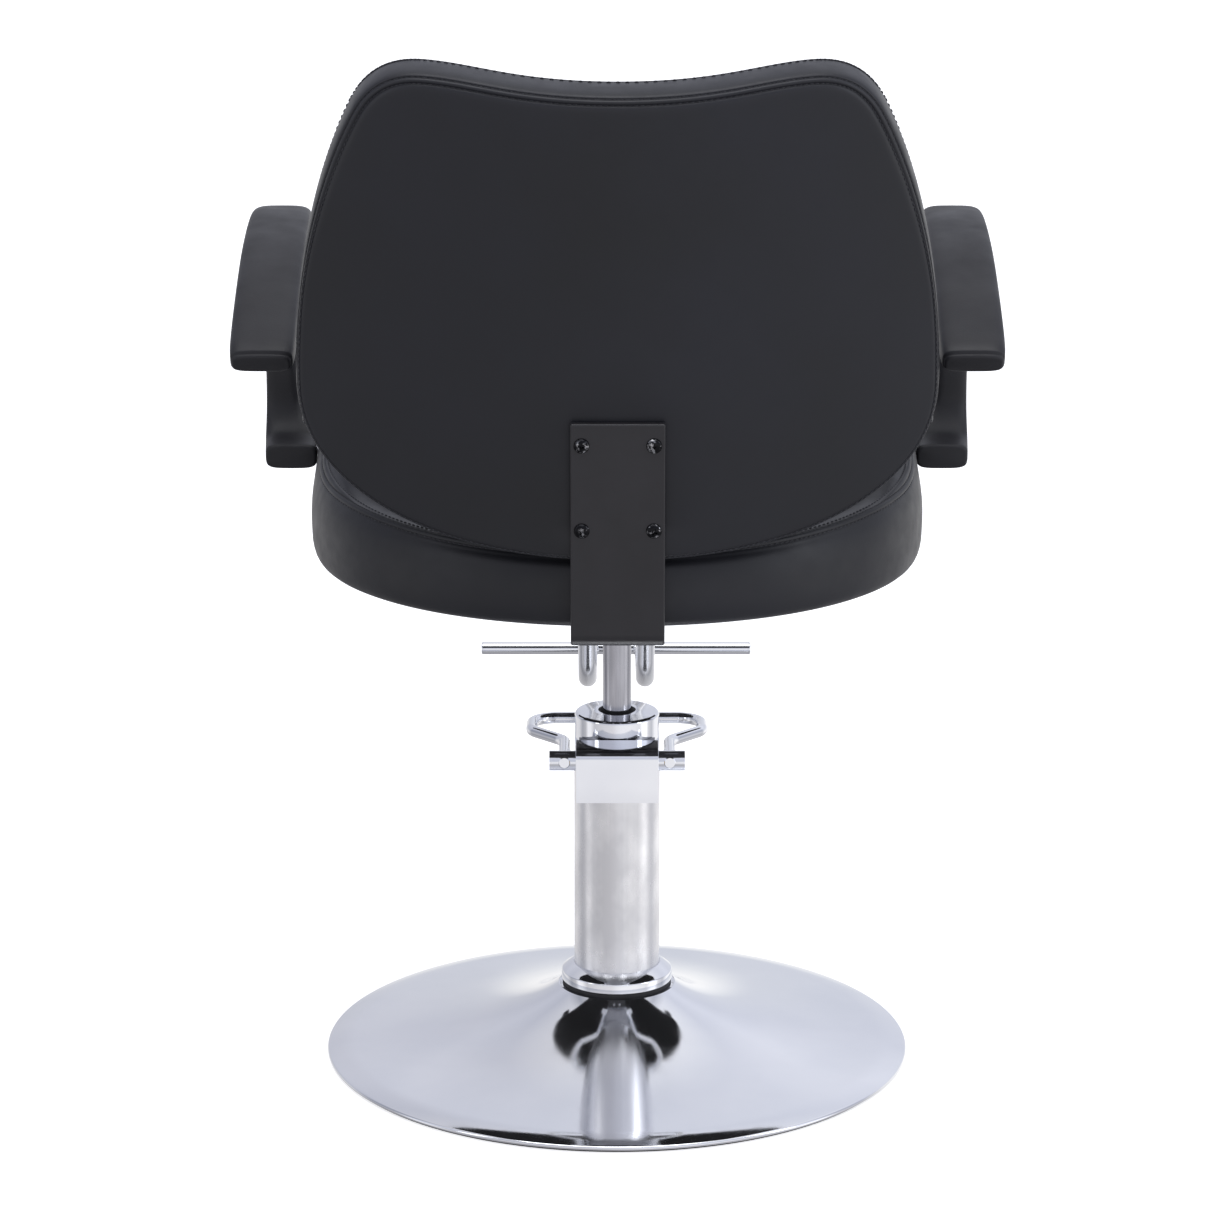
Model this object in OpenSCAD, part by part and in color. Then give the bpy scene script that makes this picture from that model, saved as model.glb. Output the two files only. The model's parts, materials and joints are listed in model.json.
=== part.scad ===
// Styling chair with a hydraulic foot pump. Millimetres, +Z up, origin on the floor under the
// column. The sitter faces -Y, so the back, the axle cover and the plunger are on the +Y side.

/* [Base] */
// Diameter of the base disc
base_d = 500; // [460:10:560]
// Height of the disc's top face at the rim
rim_z = 8; // [8:1:10]
// Height of the disc's flat land under the collar
land_z = 60; // [58:1:62]
// Sheet thickness of the disc
disc_t = 2.5; // [2:0.5:3]
// Diameter of the collar round the column
collar_d = 95; // [90:1:100]

/* [Pump] */
// Diameter of the brushed outer tube
tube_d = 73; // [72:0.5:74]
// Height of the top of the outer tube
tube_top_z = 262; // [260:1:264]
// Height of the top of the chrome cap
cap_top_z = 303; // [300:1:306]
// Diameter of the piston rod
rod_d = 24; // [22:1:26]
// Lowest point of the lift, below the rest position
lift_down = 60; // [40:5:60]

/* [Lever] */
// Distance of the lever axle behind the column axis
axle_y = 50; // [50:0.5:51]
// Height of the lever axle
axle_z = 274; // [273:0.5:275]
// Diameter of the lever axle
axle_d = 17; // [16:0.5:17]
// Length of the lever axle
axle_l = 114; // [110:1:118]
// Diameter of the bent lever rod
lever_d = 10; // [8:0.5:11]
// Distance of the foot bar in front of the axle
lever_reach = 153; // [140:1:165]
// Downward slope of the lever at rest, in degrees
lever_slope = 3; // [0:0.5:5]
// Running clearance on the radius of every turning or sliding fit
fit = 0.05; // [0.02:0.01:0.08]

/* [Seat] */
// Half of the seat's width at its widest
seat_half_w = 261; // [258:1:261]
// Rear edge of the seat
seat_rear_y = 210; // [200:1:212]
// Front edge of the seat
seat_front_y = -260; // [-280:1:-255]
// Height of the seat's underside
seat_bottom_z = 432; // [430:1:434]
// Height of the seam at the top of the seat's side band, above the column axis
seat_seam_z = 511; // [508:1:511]
// Upward slope of the seat towards the front, in degrees
seat_slope = 5; // [4.5:0.5:6]
// Height of the seat's crown above its seam
seat_crown = 16; // [8:1:20]
// Thickness of the seat's base board
board_t = 13; // [12:1:15]

/* [Back] */
// Backward lean of the back, in degrees
lean = 8; // [6:0.5:10]
// Half of the back's width at its widest
back_half_w = 256; // [250:1:257]
// Height of the back's widest line above its lower edge
back_waist = 133; // [125:1:140]
// Height of the two rounded top corners above the lower edge
back_h = 398; // [390:1:405]
// Depth of the dip between the top corners
back_dip = 12; // [8:1:18]
// Radius of the back's rear face in plan
back_r = 600; // [550:10:700]
// Thickness of the back at its edge
back_edge_t = 38; // [34:1:42]
// Thickness of the back in the middle of its padding
back_t = 66; // [60:1:70]

/* [Bracket] */
// Width of the flat steel of the back bracket
bracket_w = 75; // [70:1:80]
// Thickness of the flat steel
bracket_t = 6; // [5:0.5:6]
// How far up the back's rear face the bracket reaches
bracket_h = 112; // [105:1:120]
// Distance between the screws across the bracket
screw_dx = 57; // [50:1:60]
// Distance between the screws along the bracket
screw_dz = 72; // [60:1:76]

/* [Armrests] */
// Distance of the armrest's outer face from the middle of the chair
arm_out_x = 313; // [311:1:315]
// Depth of the steel insert in the armrest's foot
insert_t = 6; // [5:1:8]

/* [Footrest] */
// Distance between the two footrest tubes
foot_tube_gap = 52; // [48:1:60]
// Diameter of the footrest tubes
foot_tube_d = 17; // [16:0.5:19]
// Diameter of the footrest's cross bar
foot_bar_d = 12; // [11:0.5:16]
// Length of the footrest's cross bar
foot_bar_l = 254; // [240:2:300]
// Distance of the cross bar in front of the column axis
foot_bar_y = -450; // [-470:5:-440]
// Height of the cross bar
foot_bar_z = 231; // [228:1:235]

/* [Hidden] */
$fn = 96;

// Length of a cut that goes right through the part
through = 500;
bolt_r = 4;
bolt_head_r = 6.8;
bolt_head_h = 5;
base_bolt_hole_r = 5.2;

// Base
base_r = base_d / 2;
land_r = 50;
flare = 0.4;
dish = (land_z - rim_z) / (pow(base_r / land_r, flare) - 1);
floor_ring_in = 224;
floor_ring_out = 246;
plate_low_z = 2;
plate_t = 5.5;
pedestal_r = 75;
mount_low_z = 31;
flange_low_z = 37;
flange_top_z = 43;
base_bolt_r = 49;
base_bolt_count = 4;
gasket_t = 4;
collar_band_z = 73;
collar_top_z = 79;

// Pump
tube_r = tube_d / 2;
cap_r = tube_r - 0.5;
cyl_out_r = 22;
cyl_in_r = 17;
cap_roof_z = cap_top_z - 21;
bush_r = 16;
bush_low_z = 255;
rod_r = rod_d / 2;
head_low_z = 65 + lift_down;
head_top_z = head_low_z + 24;
washer_t = 2;
shoulder_z = head_top_z + washer_t + fit;
spigot_r = 8;
nut_depth = 9;
socket_low_z = 385;

// Lever
axle_r = axle_d / 2;
lever_r = lever_d / 2;
lever_arm_x = 44.4;
bush_wall = 1.5;
cover_half_w = 34.75;
cover_t = 1.5;
cover_rear_y = axle_y + 16;
cover_top_z = axle_z + 13;
cover_low_z = axle_z - 32.5;
cam_r = 11;
cam_reach = 22;
cam_nose_r = 4;
plunger_y = axle_y - cam_reach;
plunger_r = 3;
plunger_top_z = axle_z - cam_nose_r - 0.3;
barrel_top_z = 235;

// Seat
seat_waist_y = -45;
seat_corner_y = seat_front_y + 90;
plate_z = seat_bottom_z - 6;
board_low_z = seat_bottom_z + 1;
board_top_z = board_low_z + board_t;
board_inset = 14;
rail_in_x = 222;
rail_out_x = 236;
rail_l = 58;
rail_h = 49;
foot_y = -205;
foot_z = 485;
arm_bolt_dy = 26;

// Back: a frame that leans, with its origin on the rear face, just above the lower edge
back_y = 227;
back_z = 500;
back_low = -8;
panel_t = 4;
back_board_t = 12;
pad_shrink = 0.9;
board_shrink = 0.95;
screw_top = bracket_h - 18;

// Footrest
tube_x = foot_tube_gap / 2;
foot_plate_z = plate_z - 6;

// ---- Shared shapes ----

function signed_pow(v, p) = sign(v) * pow(abs(v), p);

// Point on a superellipse with half axes a and b at angle t
function super_pt(a, b, n, t) = [a * signed_pow(cos(t), 2 / n), b * signed_pow(sin(t), 2 / n)];

// Point at t along a cubic curve
function cubic(p, t) =
    pow(1 - t, 3) * p[0] + 3 * t * pow(1 - t, 2) * p[1] + 3 * t * t * (1 - t) * p[2] + pow(t, 3) * p[3];

// Height of the base disc's top face at radius r
function disc_z(r) = rim_z + dish * (pow(base_r / r, flare) - 1);

module ring(r_out, r_in, h) {
    difference() {
        cylinder(r = r_out, h = h);
        translate([0, 0, -1]) cylinder(r = r_in, h = h + 2);
    }
}

module hex_bolt(r, length, head_r, head_h) {
    cylinder(r = r, h = length, $fn = 32);
    translate([0, 0, -head_h]) cylinder(r = head_r, h = head_h, $fn = 6);
}

module mirrored() {
    children();
    mirror([1, 0, 0]) children();
}

// Straight round bar between two points
module bar(p, q, r) {
    d = q - p;
    length = norm(d);
    translate(p)
        rotate([0, acos(d[2] / length), atan2(d[1], d[0])])
            cylinder(r = r, h = length, $fn = 32);
}

function unit(v) = v / norm(v);

// Points of an arc of radius bend_r that rounds the corner c between directions u and v
function arc_points(c, u, v, bend_r, steps) = let (
    turn = acos(u * v),
    centre = c + unit(v - u) * (bend_r / cos(turn / 2)),
    x_axis = unit(c - u * bend_r * tan(turn / 2) - centre)
) [for (i = [0:steps]) let (a = turn * i / steps) centre + bend_r * (x_axis * cos(a) + u * sin(a))];

// A path through corners, each inner corner rounded with its own radius
function rounded_path(corners, radii, steps) = let (last = len(corners) - 1) concat(
    [corners[0]],
    [for (i = [1:last - 1]) each arc_points(
        corners[i], unit(corners[i] - corners[i - 1]), unit(corners[i + 1] - corners[i]), radii[i - 1], steps
    )],
    [corners[last]]
);

// Faces of a closed skin: n rings of points, sides points in each
function skin_faces(n, sides) = concat(
    [for (i = [0:n - 2], j = [0:sides - 1])
        [i * sides + j, i * sides + (j + 1) % sides, (i + 1) * sides + (j + 1) % sides, (i + 1) * sides + j]],
    [[for (j = [sides - 1:-1:0]) j]],
    [[for (j = [0:sides - 1]) (n - 1) * sides + j]]
);

// Round bar of radius r along a flat path; normal stands on the plane of the path
module swept_bar(path, normal, r, sides = 20) {
    n = len(path);
    points = [for (i = [0:n - 1], j = [0:sides - 1])
        let (
            dir = unit(path[min(n - 1, i + 1)] - path[max(0, i - 1)]),
            b = 360 * j / sides
        )
        path[i] + r * (normal * cos(b) - cross(dir, normal) * sin(b))];
    polyhedron(points, skin_faces(n, sides));
}

// ---- Base ----

module base_disc() {
    steps = 18;
    radii = [for (i = [0:steps]) land_r * pow((base_r - 3) / land_r, i / steps)];
    top = [for (r = radii) [r, disc_z(r)]];
    under = [for (i = [steps:-1:0]) [radii[i], disc_z(radii[i]) - disc_t]];
    bore_r = tube_r + 0.5;
    color([0.86, 0.87, 0.9])
        rotate_extrude()
            polygon(concat(
                [[bore_r, land_z - disc_t], [bore_r, land_z]],
                top,
                [[base_r - 1, rim_z - 1.2], [base_r, rim_z - 3], [base_r, 3.2], [base_r - 2.5, 3.2]],
                under
            ));
}

module base_floor_ring() {
    color([0.05, 0.05, 0.05])
        ring(floor_ring_out, floor_ring_in, 5);
}

module base_weight_plate() {
    color([0.3, 0.3, 0.32])
        translate([0, 0, plate_low_z]) ring(floor_ring_in - 2, pedestal_r - 13, plate_t);
}

module base_pedestal_ring() {
    low_z = plate_low_z + plate_t;
    color([0.3, 0.3, 0.32])
        translate([0, 0, low_z]) ring(pedestal_r, pedestal_r - 5, mount_low_z - low_z);
}

module at_base_bolts() {
    for (i = [0:base_bolt_count - 1])
        rotate([0, 0, 45 + i * 360 / base_bolt_count]) translate([base_bolt_r, 0, 0]) children();
}

module base_mount_plate() {
    color([0.32, 0.32, 0.34])
        difference() {
            translate([0, 0, mount_low_z]) cylinder(r = pedestal_r + 1, h = flange_low_z - mount_low_z);
            at_base_bolts() cylinder(r = base_bolt_hole_r, h = through, $fn = 32);
        }
}

module base_bolts() {
    stack = flange_top_z - mount_low_z;
    color([0.6, 0.6, 0.62])
        at_base_bolts() translate([0, 0, mount_low_z]) {
            hex_bolt(5, stack + 10, 8.5, 6);
            translate([0, 0, stack]) cylinder(r = 8.5, h = 7, $fn = 6);
        }
}

module collar_gasket() {
    color([0.04, 0.04, 0.04])
        translate([0, 0, land_z]) ring(collar_d / 2 - 0.7, tube_r, gasket_t);
}

module base_collar() {
    low_z = land_z + gasket_t;
    r = collar_d / 2;
    color([0.88, 0.88, 0.9])
        rotate_extrude()
            polygon([
                [tube_r, low_z], [r - 0.8, low_z], [r, low_z + 0.8], [r, collar_band_z - 0.8],
                [r - 0.8, collar_band_z], [tube_r + 1.2, collar_top_z], [tube_r, collar_top_z]
            ]);
}

// ---- Pump ----

module pump_foot_flange() {
    color([0.5, 0.5, 0.52])
        difference() {
            translate([0, 0, flange_low_z]) cylinder(r = 60, h = flange_top_z - flange_low_z);
            at_base_bolts() cylinder(r = base_bolt_hole_r, h = through, $fn = 32);
        }
}

module pump_tube() {
    color([0.72, 0.71, 0.7])
        difference() {
            translate([0, 0, flange_top_z])
                ring(tube_r, tube_r - 3, tube_top_z - flange_top_z);
            cam_slot();
        }
}

// Slot in the tube and the cap that lets the cam finger reach the plunger
module cam_slot() {
    translate([-7, tube_r - 8, axle_z - 18]) cube([14, 12, 26]);
}

module pump_inner_cylinder() {
    color([0.6, 0.6, 0.62])
        translate([0, 0, flange_top_z]) ring(cyl_out_r, cyl_in_r, cap_roof_z - flange_top_z);
}

module pump_top_cap() {
    wall_r = tube_r - 3.5;
    round_r = 3;
    edge = [for (a = [0:15:90]) [cap_r - round_r + round_r * cos(a), cap_top_z - round_r + round_r * sin(a)]];
    color([0.9, 0.9, 0.92])
        difference() {
            rotate_extrude()
                polygon(concat(
                    [[wall_r, tube_top_z], [cap_r, tube_top_z]],
                    edge,
                    [[20, cap_top_z + 1], [bush_r, cap_top_z + 1], [bush_r, cap_roof_z], [wall_r, cap_roof_z]]
                ));
            cam_slot();
        }
}

module rod_guide_bush() {
    color([0.72, 0.55, 0.25])
        translate([0, 0, bush_low_z]) ring(bush_r, rod_r + fit, cap_top_z - 4 - bush_low_z);
}

module rod_wiper_seal() {
    low_z = cap_top_z - 4;
    color([0.05, 0.05, 0.05])
        rotate_extrude()
            polygon([
                [rod_r + fit, low_z], [bush_r, low_z], [bush_r, cap_top_z + 1],
                [rod_r + 1.6, cap_top_z + 2.5], [rod_r + fit, cap_top_z + 2.5]
            ]);
}

module pump_block() {
    top_z = cover_top_z - cover_t - 0.2;
    block_low_z = axle_z - 31;
    color([0.45, 0.45, 0.47])
        difference() {
            union() {
                mirrored() translate([10, 0, 0]) rotate([90, 0, 90]) linear_extrude(22) hull() {
                    translate([20, block_low_z]) square([42, 40]);
                    translate([20, top_z - 5]) square([5, 5]);
                    translate([57, top_z - 5]) circle(r = 5);
                }
                translate([-32, 30, block_low_z]) cube([64, 32, 7]);
            }
            cylinder(r = tube_r, h = through);
            translate([-60, axle_y, axle_z]) rotate([0, 90, 0])
                cylinder(r = axle_r + fit + bush_wall, h = 120);
        }
}

module axle_bushes() {
    color([0.72, 0.55, 0.25])
        mirrored() translate([10, axle_y, axle_z]) rotate([0, 90, 0])
            ring(axle_r + fit + bush_wall, axle_r + fit, 22);
}

module axle_cover() {
    roll_r = 9;
    wall_y = cover_rear_y - roll_r;
    front_y = 15.2;
    roof_y = 38;
    side_top_z = cover_top_z - 4;
    hole_r = axle_r + 1;
    color([0.92, 0.92, 0.94])
        difference() {
            union() {
                translate([-cover_half_w, cover_rear_y - cover_t, cover_low_z])
                    cube([2 * cover_half_w, cover_t, cover_top_z - roll_r - cover_low_z]);
                translate([-cover_half_w, wall_y, cover_top_z - roll_r]) rotate([90, 0, 90])
                    linear_extrude(2 * cover_half_w)
                        intersection() {
                            difference() {
                                circle(r = roll_r);
                                circle(r = roll_r - cover_t);
                            }
                            square(roll_r);
                        }
                translate([-cover_half_w, roof_y, cover_top_z - cover_t])
                    cube([2 * cover_half_w, wall_y - roof_y, cover_t]);
                mirrored() translate([cover_half_w - cover_t, front_y, cover_low_z])
                    cube([cover_t, wall_y + 4 - front_y, side_top_z - cover_low_z]);
                mirrored() translate([cover_half_w - cover_t, wall_y, cover_low_z])
                    cube([cover_t, roll_r - cover_t, cover_top_z - roll_r - cover_low_z]);
            }
            translate([-60, axle_y, axle_z]) rotate([0, 90, 0]) cylinder(r = hole_r, h = 120);
        }
}

module plunger_barrel() {
    color([0.6, 0.6, 0.62])
        translate([0, plunger_y, flange_top_z]) ring(5.4, plunger_r + fit, barrel_top_z - flange_top_z);
}

// Compression spring: a round wire on a helix, swept as one closed skin
module plunger_spring() {
    turns = 6;
    sides = 8;
    per_turn = 12;
    coil_r = 4.2;
    wire_r = 0.5;
    low_z = barrel_top_z + wire_r + 0.05;
    height = plunger_top_z - 5 - 0.6 - barrel_top_z - 2 * wire_r;
    rings = turns * per_turn;
    points = [for (i = [0:rings], j = [0:sides - 1])
        let (a = 360 * i / per_turn, b = -360 * j / sides, rr = coil_r + wire_r * cos(b))
        [rr * cos(a), rr * sin(a), height * i / rings + wire_r * sin(b)]];
    color([0.65, 0.65, 0.66])
        translate([0, plunger_y, low_z]) polyhedron(points, skin_faces(rings + 1, sides));
}

// ---- Lever ----

module lever_axle() {
    color([0.8, 0.8, 0.82])
        difference() {
            translate([-axle_l / 2, axle_y, axle_z]) rotate([0, 90, 0]) cylinder(r = axle_r, h = axle_l);
            lever_frame() mirrored() bar([lever_arm_x, 20, 0], [lever_arm_x, -20, 0], lever_r);
            mirrored() set_screw();
        }
}

// The lever's own frame: origin on the axle, sloping down towards the foot bar
module lever_frame() {
    translate([0, axle_y, axle_z]) rotate([lever_slope, 0, 0]) children();
}

module set_screw() {
    translate([lever_arm_x + lever_r, axle_y, axle_z]) rotate([0, 90, 0])
        cylinder(r = 3, h = axle_l / 2 - lever_arm_x - lever_r, $fn = 32);
}

module pump_lever() {
    back_end = axle_r + 0.2;
    loop_x = 73.5;
    neck_y = -68;
    flare_y = -106;
    side = [[lever_arm_x, back_end, 0], [lever_arm_x, neck_y, 0], [loop_x, flare_y, 0],
        [loop_x, -lever_reach, 0]];
    other = [for (i = [3:-1:0]) [-side[i][0], side[i][1], 0]];
    bends = [26, 20, 22];
    path = rounded_path(concat(side, other), concat(bends, [bends[2], bends[1], bends[0]]), 6);
    color([0.85, 0.85, 0.88]) lever_frame() swept_bar(path, [0, 0, 1], lever_r);
}

module lever_cam() {
    color([0.5, 0.5, 0.52])
        translate([-7, axle_y, axle_z]) rotate([0, 90, 0])
            difference() {
                union() {
                    cylinder(r = cam_r, h = 14);
                    translate([-cam_nose_r, -cam_reach, 2]) cube([2 * cam_nose_r, cam_reach, 10]);
                    translate([0, -cam_reach, 2]) cylinder(r = cam_nose_r, h = 10);
                }
                translate([0, 0, -1]) cylinder(r = axle_r, h = 16);
            }
}

module lever_set_screws() {
    color([0.2, 0.2, 0.2])
        mirrored() difference() {
            set_screw();
            translate([axle_l / 2 - 4, axle_y, axle_z]) rotate([0, 90, 0])
                cylinder(r = 1.5, h = 5, $fn = 6);
        }
}

module pump_plunger() {
    color([0.75, 0.75, 0.77])
        translate([0, plunger_y, 0]) {
            translate([0, 0, 200]) cylinder(r = plunger_r, h = plunger_top_z - 200);
            translate([0, 0, plunger_top_z - 5]) cylinder(r = 4.9, h = 5);
        }
}

// ---- Lift carriage: moves up and down, does not turn ----

module piston_head() {
    groove_z = head_low_z + 12;
    color([0.6, 0.58, 0.5])
        difference() {
            translate([0, 0, head_low_z])
                cylinder(r = cyl_in_r - fit, h = head_top_z - head_low_z);
            translate([0, 0, head_low_z - 1]) cylinder(r = spigot_r + fit, h = 40);
            translate([0, 0, head_low_z - 1]) cylinder(r = 12, h = nut_depth + 1);
            translate([0, 0, groove_z]) ring(cyl_in_r + 1, cyl_in_r - 3, 5);
        }
}

module piston_seal() {
    color([0.05, 0.05, 0.05])
        translate([0, 0, head_low_z + 12]) ring(cyl_in_r - fit, cyl_in_r - 3, 5);
}

module thrust_washer() {
    color([0.72, 0.55, 0.25])
        translate([0, 0, head_top_z]) ring(14, spigot_r + fit, washer_t);
}

// ---- Seat: turns on the carriage ----

module piston_rod() {
    spigot_low_z = head_low_z + 2;
    color([0.75, 0.75, 0.78])
        union() {
            translate([0, 0, shoulder_z]) cylinder(r = rod_r, h = plate_z - shoulder_z);
            translate([0, 0, spigot_low_z]) cylinder(r = spigot_r, h = shoulder_z - spigot_low_z);
        }
}

module rod_end_nut() {
    low_z = head_low_z + 2;
    color([0.55, 0.55, 0.57])
        translate([0, 0, low_z])
            difference() {
                cylinder(r = 11.5, h = nut_depth - 2 - 2 * fit, $fn = 6);
                translate([0, 0, -1]) cylinder(r = spigot_r, h = nut_depth + 2);
            }
}

module seat_socket() {
    r = 23;
    color([0.15, 0.15, 0.16])
        difference() {
            union() {
                translate([0, 0, socket_low_z]) cylinder(r = r, h = plate_z - socket_low_z);
                for (a = [45:90:315])
                    rotate([0, 0, a]) translate([r - 2, 2.5, plate_z]) rotate([90, 0, 0])
                        linear_extrude(5) polygon([[0, 0], [34, 0], [34, -4], [4, -32], [0, -32]]);
            }
            translate([0, 0, socket_low_z - 1]) cylinder(r = rod_r, h = 60);
        }
}

module at_plate_bolts() {
    for (x = [-48, 48], y = [-120, 30]) translate([x, y, 0]) children();
}

module at_bracket_bolts() {
    for (x = [-20, 20], y = [100, 150]) translate([x, y, 0]) children();
}

module at_footrest_bolts() {
    for (x = [-52, 52]) translate([x, -190, 0]) children();
}

module seat_mount_plate() {
    color([0.12, 0.12, 0.13])
        difference() {
            translate([-65, -215, plate_z]) cube([130, 385, seat_bottom_z - plate_z]);
            at_plate_bolts() cylinder(r = bolt_r, h = through, $fn = 32);
            at_bracket_bolts() cylinder(r = bolt_r, h = through, $fn = 32);
            at_footrest_bolts() cylinder(r = bolt_r, h = through, $fn = 32);
        }
}

module seat_plate_bolts() {
    color([0.6, 0.6, 0.62])
        at_plate_bolts() translate([0, 0, plate_z])
            hex_bolt(bolt_r, board_top_z - plate_z, bolt_head_r, bolt_head_h);
}

module seat_outline(inset = 0) {
    a = seat_half_w - 2 - inset;
    b = seat_rear_y - seat_waist_y - inset;
    af = seat_half_w - inset;
    bf = seat_corner_y - seat_front_y - inset;
    rear = [for (t = [0:6:180]) super_pt(a, b, 2.1, t) + [0, seat_waist_y]];
    front = [for (t = [180:6:360]) super_pt(af, bf, 3.6, t) + [0, seat_corner_y]];
    polygon(concat(rear, front));
}

module seat_base_board() {
    color([0.72, 0.55, 0.35])
        difference() {
            translate([0, 0, board_low_z]) linear_extrude(board_t) seat_outline(board_inset);
            at_plate_bolts() cylinder(r = bolt_r, h = through, $fn = 32);
            at_bracket_bolts() cylinder(r = bolt_r, h = through, $fn = 32);
            at_footrest_bolts() cylinder(r = bolt_r, h = through, $fn = 32);
        }
}

module rail_blocks() {
    mirrored() translate([rail_in_x, foot_y - 21, board_top_z])
        cube([rail_out_x - rail_in_x, rail_l, rail_h]);
}

module arm_bolt_shanks(r) {
    for (dy = [-arm_bolt_dy / 2, arm_bolt_dy / 2])
        translate([rail_in_x, foot_y + dy, foot_z]) rotate([0, 90, 0])
            cylinder(r = r, h = 262 + insert_t - rail_in_x, $fn = 32);
}

module seat_side_rails() {
    color([0.72, 0.55, 0.35])
        difference() {
            rail_blocks();
            mirrored() arm_bolt_shanks(bolt_r);
        }
}

module seat_dust_cover() {
    color([0.06, 0.06, 0.06])
        difference() {
            translate([0, 0, seat_bottom_z])
                linear_extrude(board_low_z - seat_bottom_z) seat_outline(board_inset);
            at_plate_bolts() cylinder(r = bolt_r, h = through, $fn = 32);
            at_bracket_bolts() cylinder(r = bolt_r, h = through, $fn = 32);
            at_footrest_bolts() cylinder(r = bolt_r, h = through, $fn = 32);
        }
}

// The plane of the seam: it rises towards the front
module seam_frame() {
    translate([0, 0, seat_seam_z]) rotate([-seat_slope, 0, 0]) children();
}

// One slice of the crown: the seat outline made smaller, with its rear edge at rear
module crown_slice(z, k, rear) {
    front = seat_front_y + 20;
    ky = (rear - front) / (seat_rear_y - seat_front_y);
    translate([0, front - ky * seat_front_y, z])
        linear_extrude(0.5) scale([k, ky]) seat_outline();
}

module seat_cushion() {
    color([0.07, 0.07, 0.08])
        difference() {
            union() {
                difference() {
                    translate([0, 0, seat_bottom_z]) linear_extrude(through) seat_outline();
                    seam_frame() translate([-through, -through, 0]) cube(2 * through);
                }
                seam_frame() hull() {
                    crown_slice(-0.4, 0.98, seat_rear_y - 14);
                    crown_slice(seat_crown * 0.45, 0.93, 110);
                    crown_slice(seat_crown - 0.5, 0.8, 60);
                }
            }
            translate([0, 0, seat_bottom_z - 1])
                linear_extrude(board_top_z - seat_bottom_z + 1) seat_outline(board_inset);
            rail_blocks();
            mirrored() translate([rail_in_x - 8, foot_y - 21, board_top_z])
                cube([8, rail_l, rail_h]);
            mirrored() arm_bolt_shanks(bolt_r);
        }
}

// ---- Back ----

module back_frame() {
    translate([0, back_y, back_z]) rotate([-lean, 0, 0]) children();
}

// Half of the back's outline from the lower edge to the middle of the dip
function back_half() = let (
    waist = [back_half_w, back_low + back_waist],
    top_z = back_low + back_h,
    shoulder = [back_half_w - 49, top_z - 34],
    horn = [152, top_z],
    dip = [0, top_z - back_dip],
    side = [waist, waist + [0, 90], shoulder + [29, -56], shoulder],
    corner = [shoulder, shoulder + [-12, 22], horn + [25, 0], horn],
    top = [horn, horn + [-42, 0], dip + [85, 0], dip]
) concat(
    [for (t = [-90:7.5:-7.5]) super_pt(back_half_w, back_waist, 2.3, t) + [0, waist[1]]],
    [for (t = [0:0.125:0.875]) cubic(side, t)],
    [for (t = [0:0.25:0.75]) cubic(corner, t)],
    [for (t = [0:0.125:0.875]) cubic(top, t)]
);

module back_outline() {
    right = back_half();
    left = [for (i = [len(right) - 1:-1:1]) [-right[i][0], right[i][1]]];
    polygon(concat(right, [[0, back_low + back_h - back_dip]], left));
}

// One curved layer of the back, between two depths measured forward from the rear face
module back_layer(rear, front, shrink = 1) {
    low = -20;
    tall = back_h + 40;
    mid = back_low + back_h / 2;
    back_frame()
        intersection() {
            translate([0, 20, mid * (1 - shrink)]) rotate([90, 0, 0])
                linear_extrude(200) scale([shrink, shrink]) back_outline();
            translate([0, -back_r, low])
                difference() {
                    cylinder(r = back_r - rear, h = tall, $fn = 256);
                    translate([0, 0, -1]) cylinder(r = back_r - front, h = tall + 2, $fn = 256);
                }
        }
}

module at_bracket_screws() {
    back_frame()
        for (x = [-screw_dx / 2, screw_dx / 2], z = [screw_top - screw_dz, screw_top])
            translate([x, 0, z]) rotate([90, 0, 0]) children();
}

module screw_shanks() {
    at_bracket_screws() translate([0, 0, -bracket_t]) cylinder(r = 2.4, h = bracket_t + 17, $fn = 24);
}

module back_panel() {
    color([0.08, 0.08, 0.09])
        difference() {
            back_layer(0, panel_t);
            screw_shanks();
        }
}

module back_board() {
    color([0.72, 0.55, 0.35])
        difference() {
            back_layer(panel_t, panel_t + back_board_t, board_shrink);
            screw_shanks();
        }
}

module back_cushion() {
    color([0.07, 0.07, 0.08])
        difference() {
            union() {
                back_layer(panel_t + back_board_t, back_edge_t);
                back_layer(back_edge_t - 1, back_t, pad_shrink);
            }
            screw_shanks();
        }
}

// Side view of the bent flat steel: a leaning leg behind the back and a level leg under the seat
module bracket_profile() {
    out_r = 14;
    in_r = out_r - bracket_t;
    leg_z = foot_plate_z;
    slope = tan(lean);
    face_y = back_y + bracket_t / cos(lean) - (back_z - leg_z) * slope;
    turn = 90 - lean;
    cut = out_r * tan(turn / 2);
    cy = face_y - cut;
    cz = leg_z + out_r;
    top = [
        back_y + bracket_h * sin(lean) + bracket_t * cos(lean),
        back_z + bracket_h * cos(lean) - bracket_t * sin(lean)
    ];
    inner_top = [back_y + bracket_h * sin(lean), back_z + bracket_h * cos(lean)];
    outer = [for (i = [0:8]) let (a = -90 + turn * i / 8) [cy + out_r * cos(a), cz + out_r * sin(a)]];
    inner = [for (i = [8:-1:0]) let (a = -90 + turn * i / 8) [cy + in_r * cos(a), cz + in_r * sin(a)]];
    polygon(concat([[80, leg_z + bracket_t], [80, leg_z]], outer, [top, inner_top], inner));
}

module back_bracket() {
    color([0.2, 0.19, 0.2])
        difference() {
            translate([-bracket_w / 2, 0, 0]) rotate([90, 0, 90]) linear_extrude(bracket_w)
                bracket_profile();
            screw_shanks();
            at_bracket_bolts() cylinder(r = bolt_r, h = through, $fn = 32);
        }
}

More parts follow.
